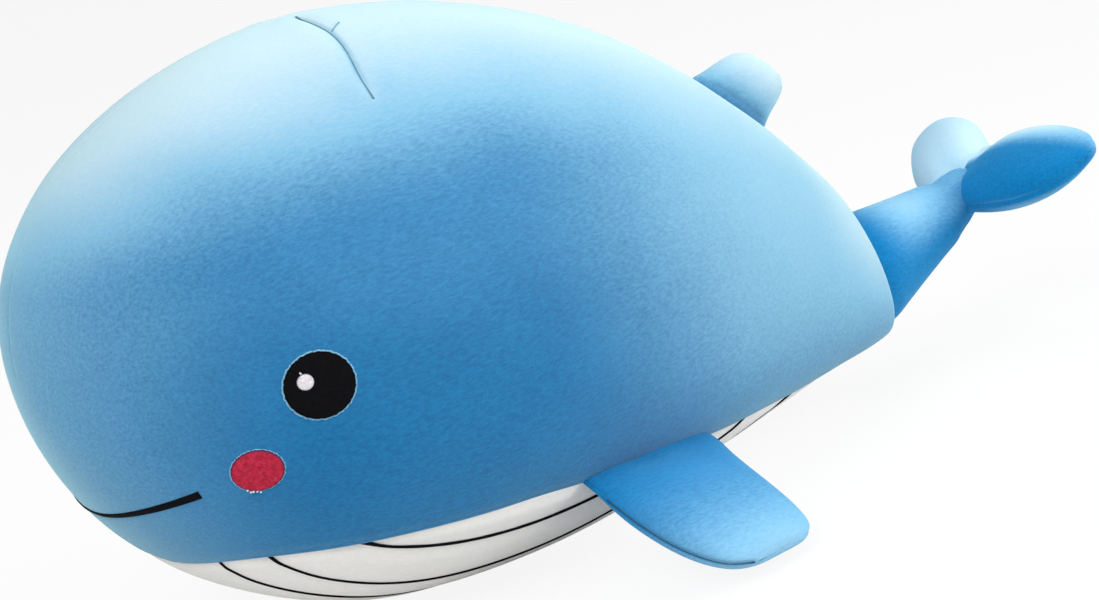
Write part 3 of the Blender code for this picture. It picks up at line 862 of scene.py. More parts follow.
def laid_thread(
    path: Callable[[Points], Points],
    relief: Callable[[Points], Points],
    half_width: Callable[[Points], Points],
    rise: Callable[[Points], Points],
    step: float,
) -> Callable[[Points, Points], Points]:
    """The shape of a thread that lies along a path on the cloth.

    Args:
        path: Points of the plain skin, by the place along the thread from 0 to 1.
        relief: How far the cloth stands out at points of the skin.
        half_width: Half the thread's width, by the place along it.
        rise: The thread's height over the cloth, by the place across it from -1 to 1.
        step: How far along the thread its heading is taken.

    Returns:
        The shape, for strip().
    """

    def shape(across: Points, along: Points) -> Points:
        """Lays the thread on the cloth.

        Args:
            across: Places across, from 0 to 1.
            along: Places along it, from 0 to 1.

        Returns:
            The thread's points.
        """
        here, side = path(along), across * 2 - 1
        heading = path(np.minimum(along + step, 1)) - path(np.maximum(along - step, 0))
        normal = EGG.normal(here)
        sideways = unit(np.cross(normal, heading))
        spot = here + sideways * (side * half_width(along))[:, None]
        return spot + normal * (relief(here) + rise(side))[:, None]

    return shape


@dataclass
class BodyCover:
    """The blue cover of the body, with its back seam, its darts, its belly lip and its tail mouth."""

    segments: int = 300
    rings: int = 264
    upper_share: float = 0.80
    crowding: float = 0.78
    lowest_seam: float = 0.95
    even_share: float = 0.25
    lip_tuck: float = 0.0006
    lip_width: float = 0.0045
    belly_recess: float = 0.0050
    recess_span: tuple[float, float] = (-0.0030, -0.0004)
    ridge_depth: float = 0.00020
    ridge_width: float = 0.0011
    dart_across_shares: Shares = (0.072, 0.295, 0.381, 0.539, 0.667)
    dart_along_shares: Shares = (0.3573, 0.3579, 0.3593, 0.3473, 0.3400)
    dart_rounding: Shares = (-0.010, -0.006, -0.002, 0.002, 0.006, 0.010)
    dart_start_ease: tuple[float, float] = (-0.004, 0.006)
    dart_end_ease: tuple[float, float] = (-0.012, 0.002)
    dart_depth: float = 0.0010
    dart_width: float = 0.0010
    valley_depth: float = 0.0007
    valley_width: float = 0.0045
    dart_pucker: float = 0.0005
    pucker_width: float = 0.006
    pucker_offsets: tuple[float, float] = (-0.008, 0.007)
    dart_thread_rise: float = 0.0006
    dart_thread_wall: float = 0.0005
    tick_start: tuple[float, float] = (-0.0211, 0.0346)
    tick_run: tuple[float, float] = (0.0052, -0.0036)
    dart_crowding: float = 1.9
    dart_crowd_width: float = 0.011
    dart_share: float = 0.352
    tail_share: float = 0.957
    tail_collar: float = 0.003
    tail_pitch: float = math.radians(13.3)
    lip_radius: float = 0.0050
    lip_turn: float = 0.75 * math.pi
    lip_slope: float = 0.7
    lump_height: float = 0.0009
    lump_size: float = 0.085
    crumple_height: float = 0.00025
    crumple_size: float = 0.026
    # Shares of painted light: paler pile on the top and the upper flank where the top light falls, on the lit
    # rear flank and the tail's end, and at the snout for its sheen; a smaller share on the dart's tick.
    raised_tick: float = 0.62
    raised_back: float = 1.0
    back_up: tuple[float, float] = (0.34, 1.08)
    raised_flank: float = 0.07
    flank_up: tuple[float, float] = (-0.15, 0.30)
    raised_rear: float = 0.38
    rear_span: tuple[float, float] = (0.40, 0.76)
    rear_up: tuple[float, float] = (-0.85, 0.05)
    raised_end: float = 0.40
    end_span: tuple[float, float] = (0.82, 0.93)
    end_up: tuple[float, float] = (-0.20, 0.40)
    raised_snout: float = 0.25
    snout_span: tuple[float, float] = (-0.10, 0.19)

    def dart_x(self, y: Points) -> Points:
        """The x of the dart across the head at each distance from the back seam.

        Args:
            y: Distances from the back seam.

        Returns:
            The dart's x at each.
        """
        across = np.array(self.dart_across_shares) * EGG.width / 2
        along = EGG.body_x(0) + np.array(self.dart_along_shares) * EGG.length
        rounded = [np.interp(np.abs(y) + step, across, along) for step in self.dart_rounding]
        return sum(rounded) / len(rounded)

    def dart_ends(self) -> tuple[float, float]:
        """How far from the back seam the dart starts and ends."""
        half = EGG.width / 2
        return self.dart_across_shares[0] * half, self.dart_across_shares[-1] * half

    def relief(self, points: Points) -> Points:
        """How far the cover stands in or out at places of the skin.

        Args:
            points: Places of the plain skin.

        Returns:
            Heights along the skin's normal.
        """
        x, y, z = points.T
        middle = EGG.section(x)[3]
        above = z - EGG.seam_height(x)
        lip = -self.lip_tuck * (1 - smooth(0.0, self.lip_width, above))
        recess = -self.belly_recess * (1 - smooth(*self.recess_span, above))
        over = (z > middle) * 1.0
        ridge = -self.ridge_depth * bump(y, self.ridge_width) * over
        first, last = self.dart_ends()
        starts = smooth(*(first + step for step in self.dart_start_ease), np.abs(y))
        reach = starts * (1 - smooth(*(last + step for step in self.dart_end_ease), np.abs(y)))
        away = x - self.dart_x(y)
        crease = -self.dart_depth * bump(away, self.dart_width)
        valley = -self.valley_depth * bump(away, self.valley_width)
        puckers = sum(bump(away - offset, self.pucker_width) for offset in self.pucker_offsets)
        dart = reach * over * (crease + valley + self.dart_pucker * puckers)
        stuffing = self.lump_height * lumps(points, self.lump_size, 3.0)
        crumples = self.crumple_height * lumps(points, self.crumple_size, 7.0)
        return lip + recess + ridge + dart + (stuffing + crumples)

    def stations(self, share: Points) -> Points:
        """The x of each ring, closer together at the two ends and round the dart.

        Args:
            share: Shares of the way from the snout to the tail.

        Returns:
            The x of each.
        """
        x = EGG.nose_x + EGG.length * (1 - np.cos(np.linspace(0, np.pi, 6001))) / 2
        steps = np.full(len(x), self.rings / (len(x) - 1))
        near_dart = bump(x[1:] - EGG.body_x(self.dart_share), self.dart_crowd_width)
        steps[1:] += self.dart_crowding * 1000 * near_dart * np.diff(x)
        steps[0] = 0
        run = np.cumsum(steps)
        return np.interp(share, run / run[-1], x)

    def angles(self, share: Points, x: Points) -> Points:
        """Angles from the back to the keel, closer together at the back seam and at the belly seam.

        Args:
            share: Shares of the way from the back to the keel.
            x: Places along the body.

        Returns:
            The angle of each point.
        """
        seam = np.minimum(EGG.seam_angle(x), self.lowest_seam * np.pi)
        upper = np.clip(share / self.upper_share, 0, 1)
        lower = np.clip((share - self.upper_share) / (1 - self.upper_share), 0, 1)
        crowded = (1 - self.crowding) * upper + self.crowding * (1 - np.cos(np.pi * upper)) / 2
        eased = self.even_share * lower + (1 - self.even_share) * lower**2
        return seam * crowded + (np.pi - seam) * eased

    def shape(self, sphere: Points) -> Points:
        """Turns the unit sphere into the cover.

        Args:
            sphere: Points of the unit sphere.

        Returns:
            Points of the cover.
        """
        share = np.arccos(np.clip(-sphere[:, 2], -1, 1)) / np.pi
        turn = np.arctan2(sphere[:, 1], sphere[:, 0])
        x = self.stations(share)
        angle = np.sign(turn) * self.angles(np.abs(turn) / np.pi, x)
        skin = EGG.point(x, angle)
        normal = EGG.normal(skin)
        ends = np.minimum(x - EGG.nose_x, EGG.nose_x + EGG.length - x) < 0.0004
        normal[ends] = np.sign(x[ends])[:, None] * np.array([1.0, 0.0, 0.0])
        cover = skin + normal * self.relief(skin)[:, None]
        return self.mouth(cover)

    def mouth(self, points: Points) -> Points:
        """Rolls what lies near and beyond the tail's seam inwards, as the lip of an open sleeve.

        Args:
            points: Points of the cover.

        Returns:
            The same points, with those near the tail's seam rolled in.
        """
        _, back, belly, middle = EGG.section(np.array([EGG.body_x(self.tail_share)]))
        centre = np.array([EGG.body_x(self.tail_share), 0, middle[0] + (back[0] - belly[0]) / 2])
        axis = np.array([math.cos(self.tail_pitch), 0, math.sin(self.tail_pitch)])
        start = -self.tail_collar - self.lip_radius
        run = (points - centre) @ axis - start
        turn = np.clip(run / self.lip_radius, 0, self.lip_turn)
        rest = np.maximum(run - self.lip_turn * self.lip_radius, 0)
        depth = start + self.lip_radius * np.sin(turn) - self.lip_slope * rest
        spoke = (points - centre) - ((points - centre) @ axis)[:, None] * axis
        length = np.linalg.norm(spoke, axis=1, keepdims=True)
        shrink = (self.lip_radius * (1 - np.cos(turn)))[:, None]
        drawn = spoke * np.maximum(0, 1 - shrink / np.maximum(length, 1e-6))
        rolled = centre + drawn + depth[:, None] * axis
        return np.where((run > 0)[:, None], rolled, points)

    def dart_thread(self, wardrobe: Wardrobe) -> None:
        """The thread in the dart of each side, coloured darker than the pale top of the head so that it also
        stands for the crease's shade, with the short tick beside it.

        Args:
            wardrobe: The finishes.
        """
        first, last = self.dart_ends()
        tick_x, tick_y = self.tick_start
        tick_back, tick_in = self.tick_run

        def on_back(x: Points, y: Points) -> Points:
            """Points of the left half of the back, by their distances from the back seam."""
            half_width, back, _, middle = EGG.section(x)
            return np.stack([x, -y, middle + back * arch(y / half_width)], -1)

        def along_dart(along: Points) -> Points:
            """The dart's path."""
            y = first + (last - first) * along
            return on_back(self.dart_x(y), y)

        def along_tick(along: Points) -> Points:
            """The tick's path."""
            return on_back(tick_x + tick_back * along, tick_y + tick_in * along)

        def rounded(side: Points) -> Points:
            """A round thread's height."""
            return self.dart_thread_rise * arch(side)

        for name, path, width, steps, finish in (
            ("dart", along_dart, 0.00040, 90, "seam_thread"),
            ("tick", along_tick, 0.00014, 14, "blue_pile_cloth"),
        ):

            def tapered(along: Points, width: float = width) -> Points:
                """Half the thread's width, thinner towards its inner end."""
                return width * np.sqrt(np.sin(np.pi * (0.02 + 0.95 * along))) * smooth(-0.15, 0.55, along)

            shape = laid_thread(path, self.relief, tapered, rounded, 0.01)
            left = strip(f"{name}_thread_left", 4, steps, shape)
            thicken(left, self.dart_thread_wall, HEART)
            # Painted light: both threads get this share, but only the tick, dressed in pile, shows it; it is
            # less than the head's round it, so the tick reads as a faint line of painted shade.
            mark_raised(left, np.full(len(left.data.vertices), self.raised_tick))
            on_both_sides(left, wardrobe, finish, f"{name}_thread_right")

    def build(self, wardrobe: Wardrobe) -> bpy.types.Object:
        """Makes and dresses the cover.

        Args:
            wardrobe: The finishes.

        Returns:
            The cover.
        """
        piece = ball("body_cover", self.segments, self.rings, self.shape)
        x = places(piece)[:, 0]
        up = upward(piece)
        share = (x - EGG.nose_x) / EGG.length
        # Painted light: paler where the cover faces up, on the rear flank and the tail's end, and at the
        # snout, where light and sheen fall.
        back = self.raised_back * smooth(*self.back_up, up)
        flank = self.raised_flank * smooth(*self.flank_up, up)
        rear = self.raised_rear * smooth(*self.rear_span, share) * smooth(*self.rear_up, up)
        end = self.raised_end * smooth(*self.end_span, share) * smooth(*self.end_up, up)
        snout = self.raised_snout * (1 - smooth(*self.snout_span, share))
        mark_raised(piece, back + flank + rear + end + snout)
        wardrobe.dress(piece, "blue_pile_cloth")
        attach(piece, "body")
        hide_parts("body_panel_left", "body_panel_right", "body_filling")
        self.dart_thread(wardrobe)
        return piece


@dataclass
class Grooves:
    """The stitched lines on the belly."""

    width_shares: Shares = (0.766, 0.565, 0.395)
    bow_shares: Shares = (1.86, 0.20, 0.10)
    centre_share: float = 0.36
    line_widths: Shares = (0.0015, 0.0011, 0.0008)
    knob_share: float = 1.75
    knob_length: float = 0.004

    def y_at(self, number: int, x: Points) -> Points:
        """How far a line lies from the keel.

        Args:
            number: The line, 0 for the outermost.
            x: Places along the body.

        Returns:
            Distances from the keel.
        """
        away = (x - EGG.nose_x) / EGG.length - self.centre_share
        return self.width_shares[number] * EGG.width / 2 * (1 - self.bow_shares[number] * away**2)

    def point(self, number: int, x: Points) -> Points:
        """Points of a line on the plain skin's left half.

        Args:
            number: The line, 0 for the outermost.
            x: Places along the body.

        Returns:
            The points.
        """
        half, _, belly, middle = EGG.section(x)
        y = np.minimum(self.y_at(number, x), half * 0.999)
        depth = belly * (1 - (y / half) ** EGG.belly_power) ** (1 / EGG.belly_power)
        return np.stack([x, -y, middle - depth], -1)

    def reach(self, number: int) -> tuple[float, float]:
        """The first and last x at which a line lies below the belly seam.

        Args:
            number: The line, 0 for the outermost.

        Returns:
            The first and the last x.
        """
        x = np.linspace(EGG.nose_x + 0.002, EGG.body_x(0.95), 1600)
        half = EGG.section(x)[0]
        low = (self.y_at(number, x) < half) & (self.point(number, x)[:, 2] < EGG.seam_height(x) - 0.0012)
        return float(x[low][0]), float(x[low][-1])


@dataclass
class BellyCover:
    """The white belly cloth, puffed between its stitched lines."""

    across: int = 150
    along: int = 230
    wall: float = 0.0016
    groove_depth: float = 0.0011
    groove_width: float = 0.0035
    puff: float = 0.0006
    edge_tuck: float = 0.0016
    edge_width: float = 0.0055
    puff_span: tuple[float, float] = (0.004, 0.015)
    lump_height: float = 0.0005
    lump_size: float = 0.045
    line_lift: float = 0.0001
    line_rise: float = 0.0007
    line_wall: float = 0.0010
    line_unevenness: float = 0.08
    line_waves: float = 61.0
    rest_height: float = 0.0002
    grooves: Grooves = field(default_factory=Grooves)

    def relief(self, points: Points) -> Points:
        """How far the belly cloth stands in or out at places of the skin.

        Args:
            points: Places of the plain skin.

        Returns:
            Heights along the skin's normal.
        """
        x, y, z = points.T
        below = EGG.seam_height(x) - z
        edge = -self.edge_tuck * (1 - smooth(0.0, self.edge_width, below))
        dents = np.zeros(len(x))
        for number in range(len(self.grooves.width_shares)):
            away = np.abs(y) - self.grooves.y_at(number, x)
            dents = np.maximum(dents, bump(away, self.groove_width))
        puff = self.puff + self.lump_height * lumps(points, self.lump_size, 5.0)
        return edge + puff * smooth(*self.puff_span, below) - self.groove_depth * dents

    def leaf(self) -> tuple[float, float]:
        """The x of the leaf's two tips.

        Returns:
            The front tip's x and the rear tip's x.
        """
        x = np.linspace(EGG.nose_x, EGG.body_x(0.999), 4000)
        _, _, belly, middle = EGG.section(x)
        inside = x[middle - belly < EGG.seam_height(x)]
        return float(inside[0]), float(inside[-1])

    def surface(self, across: Points, along: Points) -> Points:
        """Points of the belly cloth's face.

        Args:
            across: Places across the cloth, from 0 to 1.
            along: Places along it, from 0 to 1.

        Returns:
            The points.
        """
        first, last = self.leaf()
        x = (first + last) / 2 - (last - first) / 2 * np.cos(np.pi * (0.004 + 0.992 * along))
        start = EGG.seam_angle(x)
        skin = EGG.point(x, start + across * 2 * (np.pi - start))
        cloth = skin + EGG.normal(skin) * self.relief(skin)[:, None]
        cloth[:, 2] = np.maximum(cloth[:, 2], self.rest_height)
        return cloth

    def build(self, wardrobe: Wardrobe) -> bpy.types.Object:
        """Makes and dresses the belly cloth and its lines.

        Args:
            wardrobe: The finishes.

        Returns:
            The belly cloth.
        """
        piece = strip("belly_cover", self.across, self.along, self.surface)
        thicken(piece, self.wall, HEART)
        wardrobe.dress(piece, "white_belly_cloth")
        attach(piece, "body")
        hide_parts("belly_panel")
        for number in range(len(self.grooves.width_shares)):
            nodes = tuple(f"belly_groove_{side.word}_{number + 1}" for side in Side)
            right_name = f"belly_line_right_{number + 1}"
            on_both_sides(self.line(number), wardrobe, "black_embroidery", right_name, nodes)
        return piece

    def line(self, number: int) -> bpy.types.Object:
        """One stitched line on the left.

        Args:
            number: The line, 0 for the outermost.

        Returns:
            The line's piece.
        """
        first, last = self.grooves.reach(number)
        length = last - first
        thread = self.grooves.line_widths[number]
        knob = thread * (self.grooves.knob_share - 1)

        def path(along: Points) -> Points:
            """The line's path."""
            return self.grooves.point(number, first + length * along)

        def half_width(along: Points) -> Points:
            """Half the line's width, wider at its ends and slightly uneven.

            Args:
                along: Places along it, from 0 to 1.

            Returns:
                Half the width at each place.
            """
            from_end = length * np.minimum(along, 1 - along)
            width = thread + knob * bump(from_end, self.grooves.knob_length)
            return width / 2 * (1 + self.line_unevenness * np.sin(self.line_waves * along))

        def rise(side: Points) -> Points:
            """A round thread's height."""
            return self.line_lift + self.line_rise * arch(side)

        shape = laid_thread(path, self.relief, half_width, rise, 1 / 400)
        piece = strip(f"belly_line_left_{number + 1}", 6, 260, shape, length)
        return thicken(piece, self.line_wall, HEART)


@dataclass
class Patch:
    """A round or oval of satin stitch on each side of the face."""

    name: str
    finish: str
    width: float
    height: float
    x: float
    z: float
    tilt: float = 0.0
    rise: float = 0.0010
    base: float = 0.0
    ragged: float = 0.012
    rings: int = 30
    dome_power: float = 0.45
    berm_sink: float = 0.0001
    berm_wall: float = 0.0004
    raised_berm: float = 0.42
    stands_for: bool = True

    def spots(self, cover: BodyCover, u: Points, v: Points, height: Points) -> Points:
        """Points over the left flank.

        Args:
            cover: The cloth underneath.
            u: Places along the patch's width.
            v: Places along its height.
            height: Heights over the cloth.

        Returns:
            The points.
        """
        turned_u = u * math.cos(self.tilt) - v * math.sin(self.tilt)
        turned_v = u * math.sin(self.tilt) + v * math.cos(self.tilt)
        centre = EGG.flank(np.array([self.x]), np.array([self.z]))
        normal = EGG.normal(centre)[0]
        back = unit(np.array([1.0, 0, 0]) - normal * normal[0])
        up = np.cross(back, normal)
        up = up if up[2] > 0 else -up
        spot = centre[0] + back * turned_u[:, None] + up * turned_v[:, None]
        skin = EGG.flank(spot[:, 0], spot[:, 2])
        return skin + EGG.normal(skin) * (height + cover.relief(skin))[:, None]

    def edge(self, angle: Points) -> Points:
        """The outline's unevenness, where thread ends reach further than their neighbours."""
        return 1 + self.ragged * (np.sin(angle * 37) + np.sin(angle * 23 + 1.3)) / 2

    def pad(self, cover: BodyCover) -> bpy.types.Object:
        """The stitched pad on the left.

        Args:
            cover: The cloth underneath.

        Returns:
            The left pad.
        """
        rows = []

        def shape(sphere: Points) -> Points:
            """Domes the unit sphere over the cloth, and notes where its stitches lie.

            Args:
                sphere: Points of the unit sphere.

            Returns:
                The pad's points.
            """
            u, v, w = sphere.T
            edge = self.edge(np.arctan2(v, u))
            rows.append(np.stack([u * self.width / 2, v * self.height / 2, np.hypot(u, v)], -1))
            height = self.base + self.rise * np.sign(w) * np.abs(w) ** self.dome_power
            return self.spots(cover, u * self.width / 2 * edge, v * self.height / 2 * edge, height)

        piece = ball(f"{self.name}_left_stitches", 96, self.rings, shape)
        mark_stitches(piece, rows[0])
        return piece

    def build(self, cover: BodyCover, wardrobe: Wardrobe) -> None:
        """Makes the patch on both sides."""
        nodes = tuple(f"{self.name}_{side.word}" for side in Side) if self.stands_for else ()
        on_both_sides(self.pad(cover), wardrobe, self.finish, f"{self.name}_right_stitches", nodes)

    def berm(self, cover: BodyCover, wardrobe: Wardrobe, width: float, rise: float) -> None:
        """The pile that the stitching pushes up all round it, painted paler as a lit rim.

        Args:
            cover: The cloth underneath.
            wardrobe: The finishes.
            width: The berm's width.
            rise: Its height.
        """

        def shape(across: Points, along: Points) -> Points:
            """Lays the berm round the patch.

            Args:
                across: Places across, from 0 to 1.
                along: Places along it, from 0 to 1.

            Returns:
                The berm's points.
            """
            angle = along * 2 * np.pi
            out = 1 + (across - 0.2) * width / (self.width / 2)
            tufts = 0.55 + 0.45 * np.sin(angle * 43 + 2 * np.sin(angle * 7)) * np.sin(angle * 19 + 0.6)
            height = rise * np.sin(np.pi * across) * tufts
            edge = self.edge(angle) * out
            u, v = np.cos(angle) * self.width / 2 * edge, np.sin(angle) * self.height / 2 * edge
            return self.spots(cover, u, v, height - self.berm_sink)

        left = strip(f"{self.name}_left_berm", 5, 240, shape)
        thicken(left, self.berm_wall, HEART)
        # Painted highlight: the berm's pile is painted paler, as light catching the rim round the stitching.
        mark_raised(left, np.full(len(left.data.vertices), self.raised_berm))
        on_both_sides(left, wardrobe, "blue_pile_cloth", f"{self.name}_right_berm")


@dataclass
class Face:
    """Eyes, cheeks and mouth."""

    eye_shares: tuple[float, float] = (0.194, 0.488)
    cheek_shares: tuple[float, float] = (0.1308, 0.378)
    loose_end_shares: Shares = (-0.700, -0.665, -0.632, -0.585, -0.548)
    mouth_width_share: float = 0.595
    mouth_height_share: float = 0.3175
    mouth_rise_share: float = 0.0385
    mouth_powers: tuple[float, float] = (1.82, 2.1)
    line_width: float = 0.0034
    line_lift: float = 0.0001
    line_rise: float = 0.0004
    line_wall: float = 0.0014
    thinnest_share: float = 0.42
    growth_power: float = 0.8
    far_dip_share: float = 0.0035
    far_dip_place: float = 0.25
    far_dip_width: float = 0.22

    def mouth_point(self, place: Points) -> Points:
        """The mouth's middle line on the plain skin, from -1 to 1.

        Args:
            place: Places along the line, from -1 to 1.

        Returns:
            The points.
        """
        y = place * self.mouth_width_share * EGG.width / 2
        power = np.where(place < 0, *self.mouth_powers)
        rise_share = self.mouth_rise_share * np.abs(place) ** power
        dip_share = self.far_dip_share * bump(place - self.far_dip_place, self.far_dip_width)
        z = EGG.height * (self.mouth_height_share + (rise_share - dip_share))
        low = np.full(len(place), EGG.nose_x + 1e-4)
        high = np.full(len(place), EGG.body_x(0.25))
        for _ in range(48):
            x = (low + high) / 2
            inside = EGG.level(np.stack([x, y, z], -1)) < 1
            high, low = np.where(inside, x, high), np.where(inside, low, x)
        return np.stack([(low + high) / 2, y, z], -1)

    def mouth(self, cover: BodyCover, wardrobe: Wardrobe) -> None:
        """Makes the mouth's line.

        Args:
            cover: The cloth underneath.
            wardrobe: The finishes.
        """

        def half_width(along: Points) -> Points:
            """Half the line's width, thinnest in the middle."""
            growth = (1 - self.thinnest_share) * np.abs(along * 2 - 1) ** self.growth_power
            return self.line_width / 2 * (self.thinnest_share + growth)

        def path(along: Points) -> Points:
            """The mouth's path."""
            return self.mouth_point(along * 2 - 1)

        def rise(side: Points) -> Points:
            """The line's height, nearly flat across."""
            return self.line_lift + self.line_rise * (1 - side**4)

        length = 2.4 * self.mouth_width_share * EGG.width / 2
        shape = laid_thread(path, cover.relief, half_width, rise, 0.005)
        piece = strip("mouth_stitches", 8, 220, shape, length)
        thicken(piece, self.line_wall, Vector((EGG.body_x(0.4), 0, EGG.lift)))
        wardrobe.dress(piece, "black_embroidery")
        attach(piece, "body")
        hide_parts("mouth_line")

    def loose_ends(self, cheek: Patch, cover: BodyCover, wardrobe: Wardrobe) -> None:
        """The pale thread ends under each cheek.

        Args:
            cheek: The cheek.
            cover: The cloth underneath.
            wardrobe: The finishes.
        """
        for number, share in enumerate(self.loose_end_shares, start=1):
            angle = share * math.pi
            size = 0.00032 + 0.00016 * abs(math.sin(angle * 31))

            def shape(sphere: Points, angle: float = angle, size: float = size) -> Points:
                """A small bead of thread on the cheek's rim.

                Args:
                    sphere: Points of the unit sphere.
                    angle: Where on the rim it lies.
                    size: Its radius.

                Returns:
                    The bead's points.
                """
                u, v, w = sphere.T
                u = math.cos(angle) * cheek.width / 2 + size * u
                v = math.sin(angle) * cheek.height / 2 + 0.8 * size * v + 0.0003 * math.sin(angle * 19)
                return cheek.spots(cover, u, v, 0.0009 + 0.0004 * w)

            left = ball(f"cheek_thread_end_left_{number}", 10, 8, shape)
            on_both_sides(left, wardrobe, "white_embroidery", f"cheek_thread_end_right_{number}")

    def build(self, cover: BodyCover, wardrobe: Wardrobe) -> None:
        """Makes every piece of the face.

        Args:
            cover: The cloth underneath.
            wardrobe: The finishes.
        """
        x_share, z_share = self.eye_shares
        eye_x, eye_z = EGG.body_x(x_share), z_share * EGG.height
        eye = Patch("eye", "black_embroidery", width=0.0270, height=0.0255, x=eye_x, z=eye_z)
        eye.build(cover, wardrobe)
        eye.berm(cover, wardrobe, 0.0009, 0.0007)
        glint = Patch(
            "eye_highlight",
            "white_embroidery",
            width=0.0063,
            height=0.0061,
            x=eye_x - 0.0047,
            z=eye_z + 0.0028,
            base=0.0008,
            ragged=0.10,
            rings=18,
        )
        glint.build(cover, wardrobe)
        Patch(
            "glint_thread_end",
            "white_embroidery",
            width=0.0008,
            height=0.0013,
            x=glint.x - 0.0009,
            z=glint.z + 0.0036,
            tilt=math.radians(35),
            base=0.0005,
            rise=0.0005,
            rings=10,
            stands_for=False,
        ).build(cover, wardrobe)
        x_share, z_share = self.cheek_shares
        cheek = Patch(
            "cheek",
            "pink_embroidery",
            width=0.0205,
            height=0.0168,
            x=EGG.body_x(x_share),
            z=z_share * EGG.height,
            tilt=math.radians(10),
            ragged=0.018,
        )
        cheek.build(cover, wardrobe)
        cheek.berm(cover, wardrobe, 0.0007, 0.0005)
        self.loose_ends(cheek, cover, wardrobe)
        self.mouth(cover, wardrobe)


def joint_place(name: str) -> Matrix:
    """The move from the world's origin to a joint.

    Args:
        name: The joint's name in the frame.

    Returns:
        The move.
    """
    return Matrix.Translation(next(joint for joint in frame["joints"] if joint["name"] == name)["pos_m"])


@dataclass
class Limb:
    """A stuffed limb sewn from two panels, in the axes of its hinge."""

    name: str
    parent: str
    joint: str
    finish: str
    along: tuple[float, float, float]
    outward: tuple[float, float, float]
    root: float
    reach: float
    half_thickness: float
    inset: float
    leading_shares: tuple[tuple[float, float], ...]
    trailing_shares: tuple[tuple[float, float], ...]
    thickness_shares: Shares
    nodes: tuple[str, ...]
    # Painted light along the reach, by shares from root to tip: mostly deep at the root, where the body
    # shades it, and paler outwards.
    raised_shares: Shares
    sink: float = 0.008
    sink_share: float = 0.10
    blunt_power: float = 2.5
    tip_share: float = 0.14
    tip_pinch: float = 0.72
    seam_depth: float = 0.0011
    seam_width: float = 0.0012
    wrinkle: float = 0.0003
    wrinkle_share: float = 0.22
    wrinkle_waves: float = 9.0
    lump_height: float = 0.0006
    lump_size: float = 0.020
    bend: float = 0.006
    seam_start_share: float = 0.16
    seam_end: float = -0.30
    threaded: bool = True
    # Painted light on the trailing part, fading towards the tip, and painted sheen on the faces that look
    # down.
    raised_trailing: float = 0.0
    trailing_span: tuple[float, float] = (0.48, 0.92)
    trailing_fade: float = 0.95
    raised_under: float = 0.0
    under_span: tuple[float, float] = (0.45, 0.95)
    under_reach: tuple[float, float] = (0.20, 0.60)
    seam_thread_width: float = 0.0003
    seam_thread_rise: float = 0.0005
    seam_thread_wall: float = 0.0005
    seam_fill: float = 0.6
    segments: int = 128
    rings: int = 96

    def outline(self, span: Points) -> tuple[Points, Points]:
        """The limb's leading and trailing edge at each share of its reach, with its tip's corners rounded.

        Args:
            span: Shares of the limb's reach.

        Returns:
            The leading edge's points, and the trailing edge's.
        """
        edges = []
        for shares in (self.leading_shares, self.trailing_shares):
            u = bernstein(tuple(s[0] for s in shares), span) * self.root
            v = bernstein(tuple(s[1] for s in shares), span) * self.reach
            edges.append(np.stack([u, v], -1))
        lead, trail = edges
        over = np.clip((span - (1 - self.tip_share)) / self.tip_share, 0, 1)
        keep = np.sqrt(1 - self.tip_pinch * over**2)[:, None]
        middle = (lead + trail) / 2
        return middle + (lead - middle) * keep, middle + (trail - middle) * keep

    def shape(self, sphere: Points) -> Points:
        """Turns the unit sphere into the limb, in its own axes.

        Args:
            sphere: Points of the unit sphere.

        Returns:
            Points of the limb.
        """
        x, y, z = sphere[:, 0], sphere[:, 2], sphere[:, 1]
        ring = np.sqrt(np.maximum(1e-9, 1 - y * y))
        share = np.clip(x / ring, -1, 1)
        round_rise = (1 - np.abs(share) ** self.blunt_power) ** (1 / 2)
        span = (1 + y) / 2
        lead, trail = self.outline(span)
        spot = lead + (trail - lead) * ((1 + share) / 2)[:, None]
        full = self.half_thickness * bernstein(self.thickness_shares, span)
        rise = full * round_rise * ring**0.8
        seam = bump(rise, self.seam_width) * (ring > 0.05)
        spot = spot + unit((lead + trail) / 2 - spot) * (self.seam_depth * seam)[:, None]
        sunk = self.sink * (1 - smooth(0.0, self.sink_share, span))
        gather = self.wrinkle * np.sin(share * self.wrinkle_waves + 0.7) * bump(span, self.wrinkle_share)
        height = np.sign(z) * (rise + gather * round_rise)
        local = np.stack([spot[:, 0], spot[:, 1] - self.inset - sunk, height], -1)
        local[:, 2] += self.lump_height * lumps(local, self.lump_size, 2.0 + self.root) * round_rise
        return local

    def seam_thread(self) -> bpy.types.Object:
        """The thread in the seam of the leading edge, clear of the root, in the limb's own axes; it is dark
        so that it also stands for the shade in the seam.

        Returns:
            The thread's piece.
        """
        farthest, turn_step = math.acos(2 * self.seam_start_share - 1), 0.01

        def edge(turn: Points) -> Points:
            """Points of the limb's rim."""
            return self.shape(np.stack([np.sin(turn), np.zeros(len(turn)), np.cos(turn)], -1))

        def shape(across: Points, along: Points) -> Points:
            """Lays the thread in the seam.

            Args:
                across: Places across, from 0 to 1.
                along: Places along it, from 0 to 1.

            Returns:
                The thread's points.
            """
            turn = -farthest + (self.seam_end + farthest) * along
            path = edge(turn + turn_step) - edge(turn - turn_step)
            outwards_of_edge = unit(np.stack([-path[:, 1], path[:, 0], np.zeros(len(turn))], -1))
            side = 2 * across - 1
            rise = self.seam_depth * self.seam_fill + self.seam_thread_rise * arch(side)
            width = side * self.seam_thread_width * np.sqrt(np.sin(np.pi * (0.03 + 0.94 * along)))
            return edge(turn) + outwards_of_edge * rise[:, None] + width[:, None] * np.array([0.0, 0.0, 1.0])

        piece = strip(self.name + "_seam_thread", 4, 220, shape, 2 * self.reach)
        return thicken(piece, self.seam_thread_wall, Vector((self.root / 2, self.reach / 2, 0)))

    def frame(self) -> Matrix:
        """The hinge's axes and place in the world.

        Returns:
            The move from the limb's own axes to the world.
        """
        along = Vector(self.along).normalized()
        normal = along.cross(Vector(self.outward)).normalized()
        turn = Matrix((along, normal.cross(along), normal)).transposed().to_4x4()
        return joint_place(self.joint) @ turn

